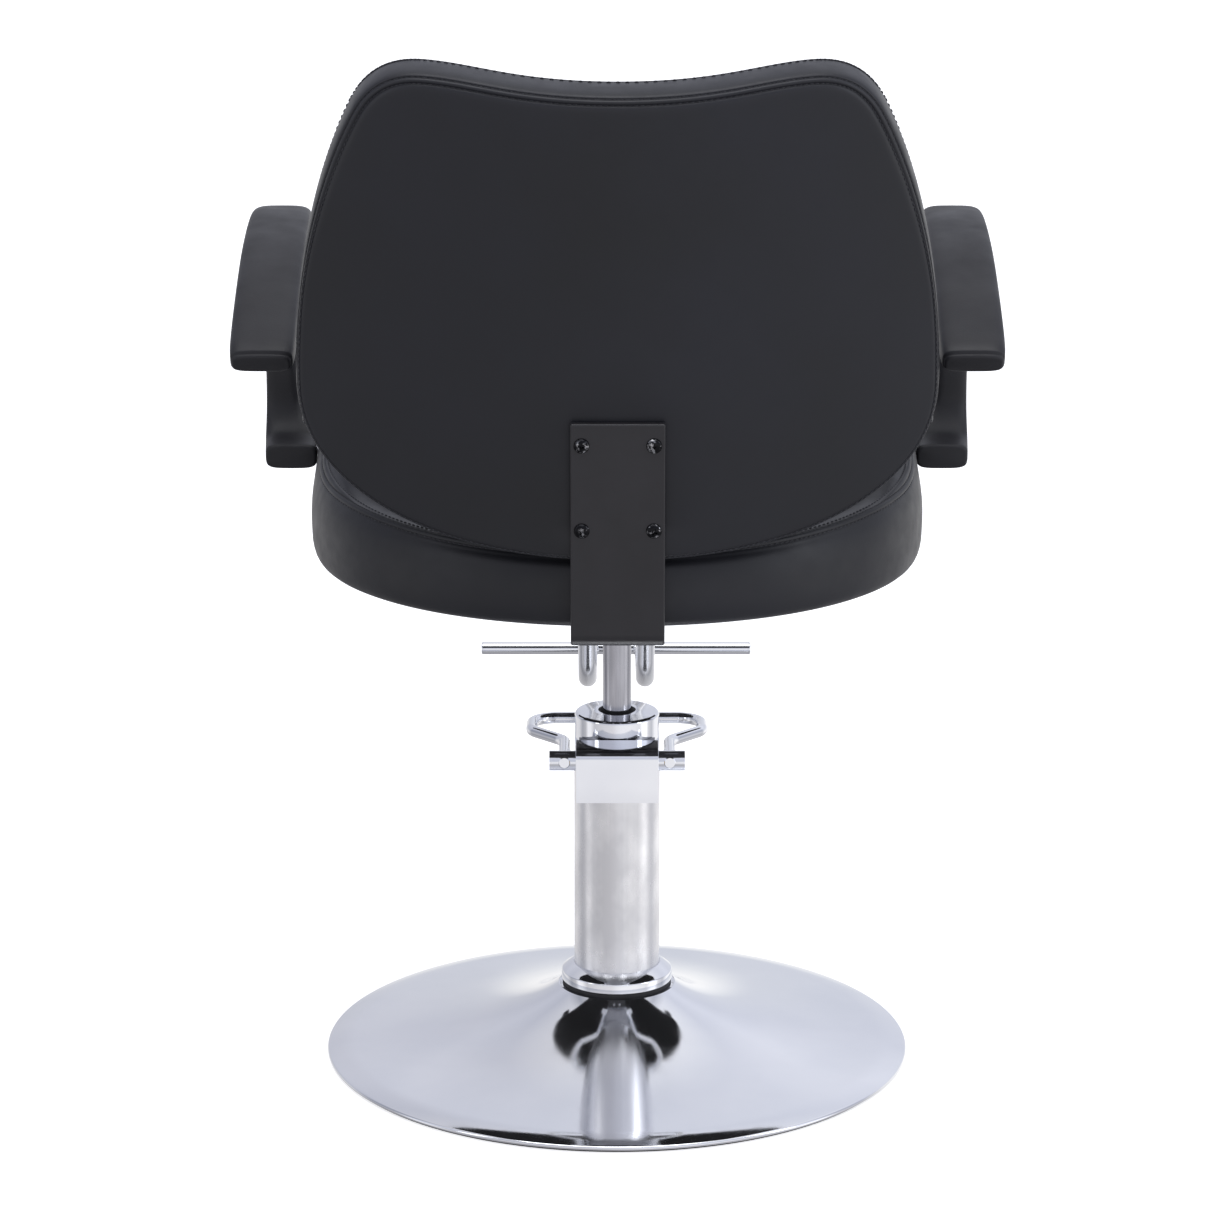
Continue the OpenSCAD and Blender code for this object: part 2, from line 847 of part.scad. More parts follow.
module bracket_screws() {
    color([0.03, 0.03, 0.03])
        union() {
            screw_shanks();
            at_bracket_screws() translate([0, 0, -bracket_t])
                difference() {
                    rotate([180, 0, 0]) rotate_extrude($fn = 48)
                        polygon([[0, 0], [6.2, 0], [6.1, 1.2], [5.2, 2.3], [3.4, 3], [0, 3.2]]);
                    for (a = [0, 90]) rotate([0, 0, a + 20]) translate([-3, -0.6, -4]) cube([6, 1.2, 3]);
                }
        }
}

module bracket_bolts() {
    color([0.6, 0.6, 0.62])
        at_bracket_bolts() translate([0, 0, foot_plate_z])
            hex_bolt(bolt_r, board_top_z - foot_plate_z, bolt_head_r, bolt_head_h);
}

// ---- Armrests ----

// Stations along the armrest: Y, Z, half thickness, inner X, outer X
arm_stations = [
    [130, 632, 8.5, 263, arm_out_x - 2],
    [112, 641, 13, 260.5, arm_out_x],
    [41, 669, 14, 260, arm_out_x],
    [-40, 690, 14, 260, arm_out_x],
    [-130, 697, 14, 261, arm_out_x],
    [-190, 684, 14.5, 265, arm_out_x],
    [-222, 650, 15, 274, arm_out_x - 1],
    [-232, 600, 15, 281, arm_out_x - 3],
    [-232, 550, 15, 281, arm_out_x - 4],
    [-228, 515, 13, 277, arm_out_x - 4],
    [-207, 489, 11, 264, arm_out_x - 4],
    [-172, 483, 11, 262.3, arm_out_x - 6]
];

// Catmull-Rom value between stations i and i + 1
function arm_at(i, t) = let (
    last = len(arm_stations) - 1,
    a = arm_stations[max(0, i - 1)],
    b = arm_stations[i],
    c = arm_stations[min(last, i + 1)],
    d = arm_stations[min(last, i + 2)]
) 0.5 * (2 * b + (c - a) * t + (2 * a - 5 * b + 4 * c - d) * t * t + (3 * b - a - 3 * c + d) * t * t * t);

module arm_skin() {
    sides = 20;
    splits = 3;
    last = len(arm_stations) - 1;
    path = concat(
        [for (i = [0:last - 1], k = [0:splits - 1]) arm_at(i, k / splits)],
        [arm_stations[last]]
    );
    n = len(path);
    points = [for (i = [0:n - 1], j = [0:sides - 1])
        let (
            s = path[i],
            ahead = path[min(n - 1, i + 1)],
            behind = path[max(0, i - 1)],
            dir = unit([ahead[0] - behind[0], ahead[1] - behind[1]]),
            p = super_pt((s[4] - s[3]) / 2, s[2], 3.4, 360 * j / sides)
        )
        [(s[3] + s[4]) / 2 + p[0], s[0] - dir[1] * p[1], s[1] + dir[0] * p[1]]];
    polyhedron(points, skin_faces(n, sides));
}

module arm_insert() {
    translate([262.3, foot_y - 22, foot_z - 6]) cube([insert_t, 48, 12]);
}

module armrest() {
    color([0.06, 0.06, 0.06])
        difference() {
            arm_skin();
            arm_insert();
            translate([258, foot_y - 22, foot_z - 6]) cube([4.4, 48, 12]);
        }
}

module armrest_left() {
    armrest();
}

module armrest_right() {
    mirror([1, 0, 0]) armrest();
}

module drilled_insert() {
    color([0.55, 0.55, 0.57])
        difference() {
            arm_insert();
            arm_bolt_shanks(bolt_r);
        }
}

module arm_insert_left() {
    drilled_insert();
}

module arm_insert_right() {
    mirror([1, 0, 0]) drilled_insert();
}

module arm_bolts() {
    color([0.6, 0.6, 0.62])
        union() {
            arm_bolt_shanks(bolt_r);
            for (dy = [-arm_bolt_dy / 2, arm_bolt_dy / 2])
                translate([rail_in_x - bolt_head_h, foot_y + dy, foot_z]) rotate([0, 90, 0])
                    cylinder(r = bolt_head_r, h = bolt_head_h, $fn = 6);
        }
}

module arm_bolts_left() {
    arm_bolts();
}

module arm_bolts_right() {
    mirror([1, 0, 0]) arm_bolts();
}

// ---- Footrest ----

module footrest_tube() {
    corners = [
        [tube_x, -190, foot_plate_z],
        [tube_x, -264, 252],
        [tube_x, foot_bar_y, foot_bar_z]
    ];
    color([0.86, 0.86, 0.89])
        difference() {
            swept_bar(rounded_path(corners, [48], 10), [1, 0, 0], foot_tube_d / 2, 24);
            translate([-foot_bar_l / 2, foot_bar_y, foot_bar_z]) rotate([0, 90, 0])
                cylinder(r = foot_bar_d / 2, h = foot_bar_l);
            translate([0, foot_bar_y - 15, foot_bar_z - 20]) cube([50, 15, 40]);
            translate([0, -230, foot_plate_z]) cube([60, 80, 20]);
        }
}

module footrest_tube_left() {
    footrest_tube();
}

module footrest_tube_right() {
    mirror([1, 0, 0]) footrest_tube();
}

module footrest_bar() {
    half = foot_bar_l / 2 - 2;
    color([0.86, 0.86, 0.89])
        translate([-half, foot_bar_y, foot_bar_z]) rotate([0, 90, 0])
            cylinder(r = foot_bar_d / 2, h = 2 * half);
}

module footrest_bar_caps() {
    color([0.7, 0.7, 0.72])
        mirrored() translate([foot_bar_l / 2 - 2, foot_bar_y, foot_bar_z]) rotate([0, 90, 0])
            rotate_extrude() polygon([
                [0, 0], [foot_bar_d / 2, 0], [foot_bar_d / 2, 1], [foot_bar_d / 2 - 1, 2], [0, 2]
            ]);
}

module footrest_mount_plate() {
    color([0.12, 0.12, 0.13])
        difference() {
            translate([-64, -213, foot_plate_z]) cube([128, 50, plate_z - foot_plate_z]);
            at_footrest_bolts() cylinder(r = bolt_r, h = through, $fn = 32);
        }
}

module footrest_bolts() {
    color([0.6, 0.6, 0.62])
        at_footrest_bolts() translate([0, 0, foot_plate_z])
            hex_bolt(bolt_r, board_top_z - foot_plate_z, bolt_head_r, bolt_head_h);
}

base_disc();
base_floor_ring();
base_weight_plate();
base_pedestal_ring();
base_mount_plate();
base_bolts();
collar_gasket();
base_collar();
pump_foot_flange();
pump_tube();
pump_inner_cylinder();
pump_top_cap();
rod_guide_bush();
rod_wiper_seal();
pump_block();
axle_bushes();
axle_cover();
plunger_barrel();
plunger_spring();
lever_axle();
pump_lever();
lever_cam();
lever_set_screws();
pump_plunger();
piston_head();
piston_seal();
thrust_washer();
piston_rod();
rod_end_nut();
seat_socket();
seat_mount_plate();
seat_plate_bolts();
seat_base_board();
seat_side_rails();
seat_dust_cover();
seat_cushion();
back_bracket();
bracket_screws();
bracket_bolts();
back_board();
back_panel();
back_cushion();
armrest_left();
armrest_right();
arm_insert_left();
arm_insert_right();
arm_bolts_left();
arm_bolts_right();
footrest_tube_left();
footrest_tube_right();
footrest_bar();
footrest_bar_caps();
footrest_mount_plate();
footrest_bolts();
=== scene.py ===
"""Looks of the styling chair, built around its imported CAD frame. Metres, +Z up, sitter faces -Y."""
import json
import math

import bpy
import numpy as np
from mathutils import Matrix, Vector


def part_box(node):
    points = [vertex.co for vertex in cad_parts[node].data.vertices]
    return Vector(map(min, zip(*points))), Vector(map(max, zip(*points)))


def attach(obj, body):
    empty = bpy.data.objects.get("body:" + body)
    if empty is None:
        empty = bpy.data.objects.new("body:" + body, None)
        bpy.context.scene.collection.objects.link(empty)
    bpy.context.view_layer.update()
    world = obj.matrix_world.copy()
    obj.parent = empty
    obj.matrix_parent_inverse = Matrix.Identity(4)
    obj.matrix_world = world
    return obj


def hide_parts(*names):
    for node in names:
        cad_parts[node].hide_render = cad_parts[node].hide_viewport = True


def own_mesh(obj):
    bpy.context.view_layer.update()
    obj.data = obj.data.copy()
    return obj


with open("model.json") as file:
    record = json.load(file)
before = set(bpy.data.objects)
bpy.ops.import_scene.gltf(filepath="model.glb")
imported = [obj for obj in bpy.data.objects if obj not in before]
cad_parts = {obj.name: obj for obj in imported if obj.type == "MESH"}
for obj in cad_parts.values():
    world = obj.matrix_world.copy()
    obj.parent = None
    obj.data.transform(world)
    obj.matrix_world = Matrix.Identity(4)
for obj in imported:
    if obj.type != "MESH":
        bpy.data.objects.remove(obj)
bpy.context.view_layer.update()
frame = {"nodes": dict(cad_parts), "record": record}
nodes = frame["nodes"]
MM = 0.001

# ---------------------------------------------------------------- camera, light and floor

scene = bpy.context.scene
scene.view_settings.view_transform = "Standard"
scene.view_settings.look = "None"

CAMERA_X, CAMERA_Y, CAMERA_Z, AIM_Z = 0.0085, 3.8707, 1.4515, 0.3942

cam_data = bpy.data.cameras.new("photo_camera")
cam_data.lens = 140.86
cam_data.sensor_width = 36
cam_data.clip_end = 100
camera = bpy.data.objects.new("photo_camera", cam_data)
camera.location = (CAMERA_X, CAMERA_Y, CAMERA_Z)
camera.rotation_euler = (Vector((CAMERA_X, 0, AIM_Z)) - camera.location).to_track_quat("-Z", "Y").to_euler()
scene.collection.objects.link(camera)
scene.camera = camera


def new_tree(owner):
    owner.use_nodes = True
    tree = owner.node_tree
    tree.nodes.clear()
    return tree


def add(tree, kind, **values):
    """A shader node: values go to its inputs by name, and those with a leading _ to its own settings."""
    node = tree.nodes.new(kind)
    for key, value in values.items():
        if key.startswith("_"):
            setattr(node, key[1:], value)
        else:
            node.inputs[key.replace("_", " ")].default_value = value
    return node


def ramp(tree, fac, stops):
    """A colour ramp through (place, colour) stops."""
    node = tree.nodes.new("ShaderNodeValToRGB")
    elements = node.color_ramp.elements
    while len(elements) < len(stops):
        elements.new(0.5)
    for element, (place, colour) in zip(elements, stops):
        element.position = place
        element.color = (*colour, 1) if len(colour) == 3 else colour
    tree.links.new(fac, node.inputs[0])
    return node.outputs[0]


def area_light(name, place, target, power, colour, size, size_y):
    data = bpy.data.lights.new(name, "AREA")
    data.energy = power
    data.color = colour
    data.shape = "RECTANGLE"
    data.size = size
    data.size_y = size_y
    light = bpy.data.objects.new(name, data)
    light.location = place
    light.rotation_euler = (Vector(target) - Vector(place)).to_track_quat("-Z", "Y").to_euler()
    scene.collection.objects.link(light)


def half_up(tree, value):
    """Brings a value from -1..1 to 0..1."""
    node = add(tree, "ShaderNodeMapRange", From_Min=-1.0, From_Max=1.0)
    tree.links.new(value, node.inputs[0])
    return node.outputs[0]


def build_world():
    """A studio of soft panels: brightness by height, by the way round, and by left and right."""
    world = bpy.data.worlds.new("studio")
    scene.world = world
    t = new_tree(world)
    coords = t.nodes.new("ShaderNodeTexCoord")
    split = t.nodes.new("ShaderNodeSeparateXYZ")
    t.links.new(coords.outputs["Generated"], split.inputs[0])
    height = ramp(t, half_up(t, split.outputs["Z"]), [
        (0.0, (0.40, 0.40, 0.42)), (0.27, (0.62, 0.62, 0.64)), (0.36, (1.00, 0.99, 1.00)),
        (0.45, (0.98, 0.98, 0.99)), (0.50, (0.88, 0.89, 0.92)), (0.55, (0.70, 0.72, 0.79)),
        (0.66, (0.67, 0.69, 0.78)), (0.73, (0.74, 0.76, 0.85)), (0.80, (0.68, 0.70, 0.79)),
        (0.90, (0.86, 0.87, 0.92)), (1.0, (1.1, 1.1, 1.12))])
    flat = add(t, "ShaderNodeVectorMath", _operation="MULTIPLY")
    flat.inputs[1].default_value = (1, 1, 0)
    t.links.new(coords.outputs["Generated"], flat.inputs[0])
    level = add(t, "ShaderNodeVectorMath", _operation="NORMALIZE")
    t.links.new(flat.outputs[0], level.inputs[0])
    turned = t.nodes.new("ShaderNodeSeparateXYZ")
    t.links.new(level.outputs[0], turned.inputs[0])
    bands = ramp(t, half_up(t, turned.outputs["Y"]), [
        (0.0, (1.0, 1.0, 1.0)), (0.22, (0.96, 0.96, 0.97)), (0.34, (0.55, 0.56, 0.60)),
        (0.46, (0.70, 0.70, 0.72)), (0.54, (1.30, 1.30, 1.31)), (0.62, (1.25, 1.25, 1.25)),
        (0.72, (0.80, 0.80, 0.82)), (0.90, (0.92, 0.92, 0.93)), (1.0, (0.94, 0.94, 0.96))])
    sides = ramp(t, half_up(t, turned.outputs["X"]), [
        (0.0, (1.14, 1.14, 1.14)), (0.40, (1.08, 1.08, 1.08)), (0.50, (1.0, 1.0, 1.0)),
        (0.60, (0.88, 0.87, 0.87)), (1.0, (0.80, 0.80, 0.81))])
    shaded = add(t, "ShaderNodeVectorMath", _operation="MULTIPLY")
    t.links.new(bands, shaded.inputs[0])
    t.links.new(sides, shaded.inputs[1])
    scaled = add(t, "ShaderNodeVectorMath", _operation="MULTIPLY")
    t.links.new(height, scaled.inputs[0])
    t.links.new(shaded.outputs[0], scaled.inputs[1])
    sky = add(t, "ShaderNodeBackground", Strength=1.0)
    t.links.new(scaled.outputs[0], sky.inputs[0])
    out = t.nodes.new("ShaderNodeOutputWorld")
    t.links.new(sky.outputs[0], out.inputs[0])


build_world()
area_light("top_softbox", (0.1, 0.7, 2.9), (0, 0, 0.4), 26, (0.97, 0.98, 1.0), 2.2, 1.4)
area_light("left_strip", (2.3, 1.5, 1.3), (0, 0, 0.5), 4, (1, 1, 1), 0.5, 1.8)
area_light("right_strip", (-2.3, 1.1, 1.4), (0, 0, 0.5), 9, (0.93, 0.96, 1.0), 0.5, 1.8)

# ---------------------------------------------------------------- materials


class Surface:
    """A procedural material in object space: one Principled shader fed by small helper chains."""

    def __init__(self, name, **constants):
        self.material = bpy.data.materials.new(name)
        self.tree = new_tree(self.material)
        self.shader = self.tree.nodes.new("ShaderNodeBsdfPrincipled")
        for key, value in constants.items():
            self.shader.inputs[key.replace("_", " ")].default_value = value
        out = self.tree.nodes.new("ShaderNodeOutputMaterial")
        self.tree.links.new(self.shader.outputs[0], out.inputs[0])
        self.coords = self.tree.nodes.new("ShaderNodeTexCoord").outputs["Object"]
        self.normal = None

    def scaled(self, scale):
        node = add(self.tree, "ShaderNodeMapping", Scale=scale)
        self.tree.links.new(self.coords, node.inputs[0])
        return node.outputs[0]

    def noise(self, scale, detail=3.0, stretch=(1, 1, 1), rough=0.5):
        node = add(self.tree, "ShaderNodeTexNoise", Scale=scale, Detail=detail, Roughness=rough)
        self.tree.links.new(self.scaled(stretch), node.inputs["Vector"])
        return node.outputs["Fac"]

    def cells(self, scale):
        node = add(self.tree, "ShaderNodeTexVoronoi", Scale=scale)
        self.tree.links.new(self.coords, node.inputs["Vector"])
        return node.outputs["Distance"]

    def radius(self):
        flat = add(self.tree, "ShaderNodeVectorMath", _operation="MULTIPLY")
        flat.inputs[1].default_value = (1, 1, 0)
        self.tree.links.new(self.coords, flat.inputs[0])
        size = add(self.tree, "ShaderNodeVectorMath", _operation="LENGTH")
        self.tree.links.new(flat.outputs[0], size.inputs[0])
        return size.outputs["Value"]

    def turned_lines(self, scale):
        """Fine rings round the Z axis, as a lathe or a polishing wheel leaves."""
        join = self.tree.nodes.new("ShaderNodeCombineXYZ")
        self.tree.links.new(self.radius(), join.inputs[0])
        node = add(self.tree, "ShaderNodeTexNoise", Scale=scale, Detail=2.0)
        self.tree.links.new(join.outputs[0], node.inputs["Vector"])
        return node.outputs["Fac"]

    def span(self, fac, low, high, start=0.3, stop=0.7):
        node = add(self.tree, "ShaderNodeMapRange", From_Min=start, From_Max=stop, To_Min=low, To_Max=high)
        self.tree.links.new(fac, node.inputs[0])
        return node.outputs[0]

    def colour(self, fac, low, high, start=0.3, stop=0.7):
        shade = ramp(self.tree, fac, [(start, low), (stop, high)])
        self.tree.links.new(shade, self.shader.inputs["Base Color"])

    def rough(self, fac, low, high, start=0.3, stop=0.7):
        self.tree.links.new(self.span(fac, low, high, start, stop), self.shader.inputs["Roughness"])

    def bump(self, fac, strength, distance):
        node = add(self.tree, "ShaderNodeBump", Strength=strength, Distance=distance)
        self.tree.links.new(fac, node.inputs["Height"])
        if self.normal is not None:
            self.tree.links.new(self.normal, node.inputs["Normal"])
        self.normal = node.outputs[0]
        self.tree.links.new(self.normal, self.shader.inputs["Normal"])


def vinyl_surface():
    s = Surface("black_vinyl", Specular_IOR_Level=0.36, Coat_Weight=0.06, Coat_Roughness=0.36)
    s.colour(s.noise(5.0, 3.0), (0.0100, 0.0104, 0.0125), (0.0130, 0.0138, 0.0195))
    s.rough(s.noise(60.0, 4.0), 0.40, 0.50)
    s.bump(s.noise(14.0, 2.0), 0.10, 0.0030)
    s.bump(s.cells(1500.0), 0.22, 0.00012)
    s.bump(s.noise(420.0, 2.0), 0.10, 0.00025)
    return s.material


def thread_surface():
    s = Surface("vinyl_thread", Specular_IOR_Level=0.4)
    s.colour(s.noise(900.0, 2.0), (0.022, 0.022, 0.027), (0.045, 0.045, 0.052))
    s.rough(s.noise(700.0), 0.5, 0.65)
    s.bump(s.noise(2600.0, 2.0), 0.3, 0.0002)
    return s.material


def arm_surface():
    s = Surface("arm_skin", Specular_IOR_Level=0.34)
    s.colour(s.noise(9.0, 4.0), (0.0130, 0.0130, 0.0155), (0.0180, 0.0180, 0.0215))
    s.rough(s.noise(26.0, 5.0), 0.40, 0.56)
    s.bump(s.noise(800.0, 3.0), 0.28, 0.00028)
    s.bump(s.noise(22.0, 2.0), 0.06, 0.0020)
    return s.material


def chrome_surface(name="chrome", turned=0.0, worn=(0.035, 0.11)):
    s = Surface(name, Metallic=1.0)
    s.colour(s.noise(7.0, 4.0), (0.80, 0.815, 0.85), (0.90, 0.905, 0.92))
    s.rough(s.noise(38.0, 5.0, rough=0.6), *worn)
    s.bump(s.noise(6.0, 2.0), 0.05, 0.0020)
    if turned:
        s.bump(s.turned_lines(2600.0), turned, 0.00006)
    return s.material


def brushed_surface():
    """Bare tube: long brush streaks under broad cloudy patches."""
    s = Surface("brushed_tube", Metallic=1.0, Anisotropic=0.35)
    mottle = s.noise(16.0, 4.0, (1.0, 1.0, 0.7), 0.6)
    streak = s.noise(1.0, 4.0, (210, 210, 3.0))
    mixed = add(s.tree, "ShaderNodeMath", _operation="MULTIPLY_ADD")
    mixed.inputs[1].default_value = 0.30
    s.tree.links.new(streak, mixed.inputs[0])
    s.tree.links.new(s.span(mottle, 0.0, 0.70), mixed.inputs[2])
    s.colour(mixed.outputs[0], (0.70, 0.70, 0.715), (0.92, 0.92, 0.93), 0.25, 0.75)
    s.rough(mixed.outputs[0], 0.34, 0.20, 0.25, 0.75)
    s.bump(streak, 0.10, 0.00008)
    return s.material


def ground_surface():
    s = Surface("ground_rod", Metallic=1.0)
    s.colour(s.noise(1.0, 3.0, (160, 160, 12)), (0.30, 0.30, 0.325), (0.50, 0.50, 0.535))
    s.rough(s.noise(24.0, 4.0), 0.14, 0.30)
    s.bump(s.noise(1.0, 2.0, (40, 40, 3000)), 0.08, 0.00005)
    return s.material


def steel_surface(name, low, high, rough_low, rough_high):
    s = Surface(name, Metallic=1.0)
    s.colour(s.noise(40.0, 5.0), low, high)
    s.rough(s.noise(90.0, 4.0), rough_low, rough_high)
    s.bump(s.noise(500.0, 3.0), 0.12, 0.0002)
    return s.material


def screw_surface():
    """Black oxide with bright steel spots, which are painted glints that stand in for highlights."""
    s = Surface("dark_screw", Metallic=1.0)
    # the bright spots are painted glints on the black oxide
    s.colour(s.noise(240.0, 4.0, rough=0.65), (0.016, 0.016, 0.018), (0.50, 0.50, 0.52), 0.53, 0.66)
    s.rough(s.noise(90.0, 4.0), 0.08, 0.18)
    s.bump(s.noise(500.0, 3.0), 0.12, 0.0002)
    return s.material


def paint_surface(name, low, high, rough_low, rough_high, grain):
    s = Surface(name, Specular_IOR_Level=0.5)
    s.colour(s.noise(30.0, 4.0), low, high)
    s.rough(s.noise(45.0, 4.0), rough_low, rough_high)
    s.bump(s.noise(grain, 2.0), 0.10, 0.0003)
    return s.material


def rubber_surface():
    s = Surface("black_rubber", Specular_IOR_Level=0.4)
    s.colour(s.noise(60.0, 4.0), (0.012, 0.012, 0.013), (0.024, 0.024, 0.025))
    s.rough(s.noise(80.0), 0.55, 0.75)
    s.bump(s.noise(700.0), 0.15, 0.0002)
    return s.material


def bronze_surface():
    s = Surface("bronze", Metallic=1.0)
    s.colour(s.noise(60.0, 4.0), (0.55, 0.36, 0.14), (0.72, 0.52, 0.24))
    s.rough(s.noise(120.0), 0.25, 0.40)
    s.bump(s.noise(900.0), 0.1, 0.0001)
    return s.material


def board_surface():
    s = Surface("board", Specular_IOR_Level=0.3)
    wave = add(s.tree, "ShaderNodeTexWave", Scale=30.0, Distortion=6.0, Detail=3.0, _bands_direction="X")
    s.tree.links.new(s.scaled((1, 0.12, 2.0)), wave.inputs["Vector"])
    s.colour(wave.outputs["Fac"], (0.36, 0.23, 0.11), (0.56, 0.40, 0.22), 0.0, 1.0)
    s.rough(s.noise(80.0), 0.55, 0.7)
    s.bump(wave.outputs["Fac"], 0.15, 0.0003)
    return s.material


def cloth_surface():
    s = Surface("dust_cloth", Specular_IOR_Level=0.2)
    s.colour(s.noise(350.0, 5.0), (0.010, 0.010, 0.011), (0.030, 0.030, 0.031))
    s.rough(s.noise(200.0), 0.8, 0.95)
    s.bump(s.cells(700.0), 0.5, 0.0003)
    return s.material


materials = {
    "chrome": chrome_surface(),
    "brushed_tube": brushed_surface(),
    "ground_rod": ground_surface(),
    "plain_steel": steel_surface("plain_steel", (0.30, 0.30, 0.31), (0.44, 0.44, 0.46), 0.35, 0.5),
    "bolt_steel": steel_surface("bolt_steel", (0.46, 0.46, 0.48), (0.62, 0.62, 0.66), 0.25, 0.38),
    "dark_screw": screw_surface(),
    "bracket_paint": paint_surface("bracket_paint", (0.0150, 0.0142, 0.0165), (0.0195, 0.0183, 0.0215),
                                   0.30, 0.38, 520.0),
    "bronze": bronze_surface(),
    "black_rubber": rubber_surface(),
    "black_vinyl": vinyl_surface(),
    "arm_skin": arm_surface(),
    "board": board_surface(),
    "dust_cloth": cloth_surface(),
}
thread = thread_surface()
disc_chrome = chrome_surface("disc_chrome", 0.12)
tube_chrome = chrome_surface("tube_chrome", 0.0, (0.17, 0.27))
weld_steel = steel_surface("weld_chrome", (0.62, 0.63, 0.66), (0.80, 0.81, 0.84), 0.12, 0.24)

# ---------------------------------------------------------------- mesh helpers


def new_piece(name, verts, faces, slot, body, crease=40.0, surface=None):
    """A mesh object that rides on a body; edges sharper than crease degrees stay sharp."""
    mesh = bpy.data.meshes.new(name)
    mesh.from_pydata(np.asarray(verts, float).tolist(), [], faces)
    mesh.update()
    obj = bpy.data.objects.new(name, mesh)
    scene.collection.objects.link(obj)
    mesh.polygons.foreach_set("use_smooth", [True] * len(mesh.polygons))
    if crease:
        mesh.set_sharp_from_angle(angle=math.radians(crease))
    mesh.materials.append(surface or materials[slot])
    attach(obj, body)
    return obj


def skin_faces(rows, sides, loop):
    """Quads between successive rings of points, each ring closed on itself."""
    faces = []
    for i in range(rows if loop else rows - 1):
        a, b = i * sides, ((i + 1) % rows) * sides
        for j in range(sides):
            k = (j + 1) % sides
            faces.append((a + j, a + k, b + k, b + j))
    return faces


def ring_skin(rings, fan_start=False, fan_end=False, loop=False):
    """Points and faces of a skin over rings; a fan closes an end at its middle."""
    rings = [np.asarray(r, float) for r in rings]
    sides = len(rings[0])
    verts = [np.concatenate(rings)]
    faces = skin_faces(len(rings), sides, loop)
    count = len(rings) * sides
    if fan_start:
        verts.append(rings[0].mean(0)[None])
        faces += [(count, (j + 1) % sides, j) for j in range(sides)]
        count += 1
    if fan_end:
        last = (len(rings) - 1) * sides
        verts.append(rings[-1].mean(0)[None])
        faces += [(count, last + j, last + (j + 1) % sides) for j in range(sides)]
    return np.concatenate(verts), faces


def lathe(name, profile, slot, body, sides=192, crease=40.0, surface=None):
    """A turned piece: a closed profile of (radius, height) in mm, going clockwise, round the Z axis."""
    turn = np.linspace(0, 2 * math.pi, sides, endpoint=False)
    rings = [np.stack([r * np.cos(turn), r * np.sin(turn), np.full(sides, z)], 1) * MM for r, z in profile]
    verts, faces = ring_skin(rings, loop=True)
    return new_piece(name, verts, faces, slot, body, crease, surface)


def arc(centre, radius, start, stop, steps):
    """Points on an arc, from start to stop degrees."""
    turn = [math.radians(a) for a in np.linspace(start, stop, steps)]
    return [(centre[0] + radius * math.cos(a), centre[1] + radius * math.sin(a)) for a in turn]


def sweep(name, path, radius, slot, body, sides=40, ends=1.0, surface=None):
    """A round bar along a path in mm, its two ends chamfered by ends mm."""
    path = np.asarray(path, float)
    dirs = np.gradient(path, axis=0)
    dirs /= np.linalg.norm(dirs, axis=1)[:, None]
    helper = np.array([0, 0, 1.0]) if abs(dirs[0][2]) < 0.9 else np.array([1.0, 0, 0])
    up = np.cross(np.cross(dirs[0], helper), dirs[0])
    turn = np.linspace(0, 2 * math.pi, sides, endpoint=False)
    rings = []

    def ring(centre, direction, up, r):
        across = np.cross(direction, up)
        return centre + r * (np.cos(turn)[:, None] * up + np.sin(turn)[:, None] * across)

    up = up / np.linalg.norm(up)
    rings.append(ring(path[0], dirs[0], up, radius - ends))
    for i, (p, d) in enumerate(zip(path, dirs)):
        up = up - d * (up @ d)
        up /= np.linalg.norm(up)
        inner = p + d * (ends if i == 0 else (-ends if i == len(path) - 1 else 0))
        rings.append(ring(inner, d, up, radius))
    rings.append(ring(path[-1], dirs[-1], up, radius - ends))
    verts, faces = ring_skin(np.array(rings) * MM, True, True)
    return new_piece(name, verts, faces, slot, body, 30.0, surface)


def rounded_path(corners, radii, steps=14):
    """A path through corners, each inner corner rounded with its own radius."""
    corners = [np.asarray(c, float) for c in corners]
    path = [corners[0]]
    for i, radius in enumerate(radii, 1):
        u = corners[i] - corners[i - 1]
        v = corners[i + 1] - corners[i]
        u, v = u / np.linalg.norm(u), v / np.linalg.norm(v)
        half = math.acos(max(-1, min(1, u @ v))) / 2
        mid = v - u
        centre = corners[i] + mid / np.linalg.norm(mid) * radius / math.cos(half)
        side = corners[i] - u * radius * math.tan(half) - centre
        side /= np.linalg.norm(side)
        for a in np.linspace(0, 2 * half, steps):
            path.append(centre + radius * (side * math.cos(a) + u * math.sin(a)))
    path.append(corners[-1])
    return np.array(path)


def resample(points, count):
    """Evenly spaced points along a closed line of points."""
    pts = np.concatenate([points, points[:1]])
    run = np.concatenate([[0], np.cumsum(np.linalg.norm(np.diff(pts, axis=0), axis=1))])
    at = np.linspace(0, run[-1], count, endpoint=False)
    return np.stack([np.interp(at, run, pts[:, k]) for k in range(pts.shape[1])], 1)


def smooth_loop(values, passes):
    """A closed row of values, each pass averaging every one with its neighbours."""
    for _ in range(passes):
        values = (np.roll(values, 1, 0) + 2 * values + np.roll(values, -1, 0)) / 4
    return values


def ease(t):
    """A smooth step from 0 to 1."""
    t = np.clip(t, 0, 1)
    return t * t * (3 - 2 * t)


def inward(loop):
    """Unit normals that point into a loop of 2-D points."""
    along = np.roll(loop, -2, 0) - np.roll(loop, 2, 0)
    normal = np.stack([-along[:, 1], along[:, 0]], 1)
    normal /= np.linalg.norm(normal, axis=1)[:, None]
    return normal if (normal * (loop.mean(0) - loop)).sum() > 0 else -normal


# how much of the pitch a stitch fills, and its shape: place along it, thickness and lift, as shares
STITCH_SHARE = 0.66
STITCH_SHAPE = [(-1.0, 0.30, -0.5), (-0.8, 0.75, 0.05), (-0.35, 1.0, 0.35),
                (0.35, 1.0, 0.35), (0.8, 0.75, 0.05), (1.0, 0.30, -0.5)]


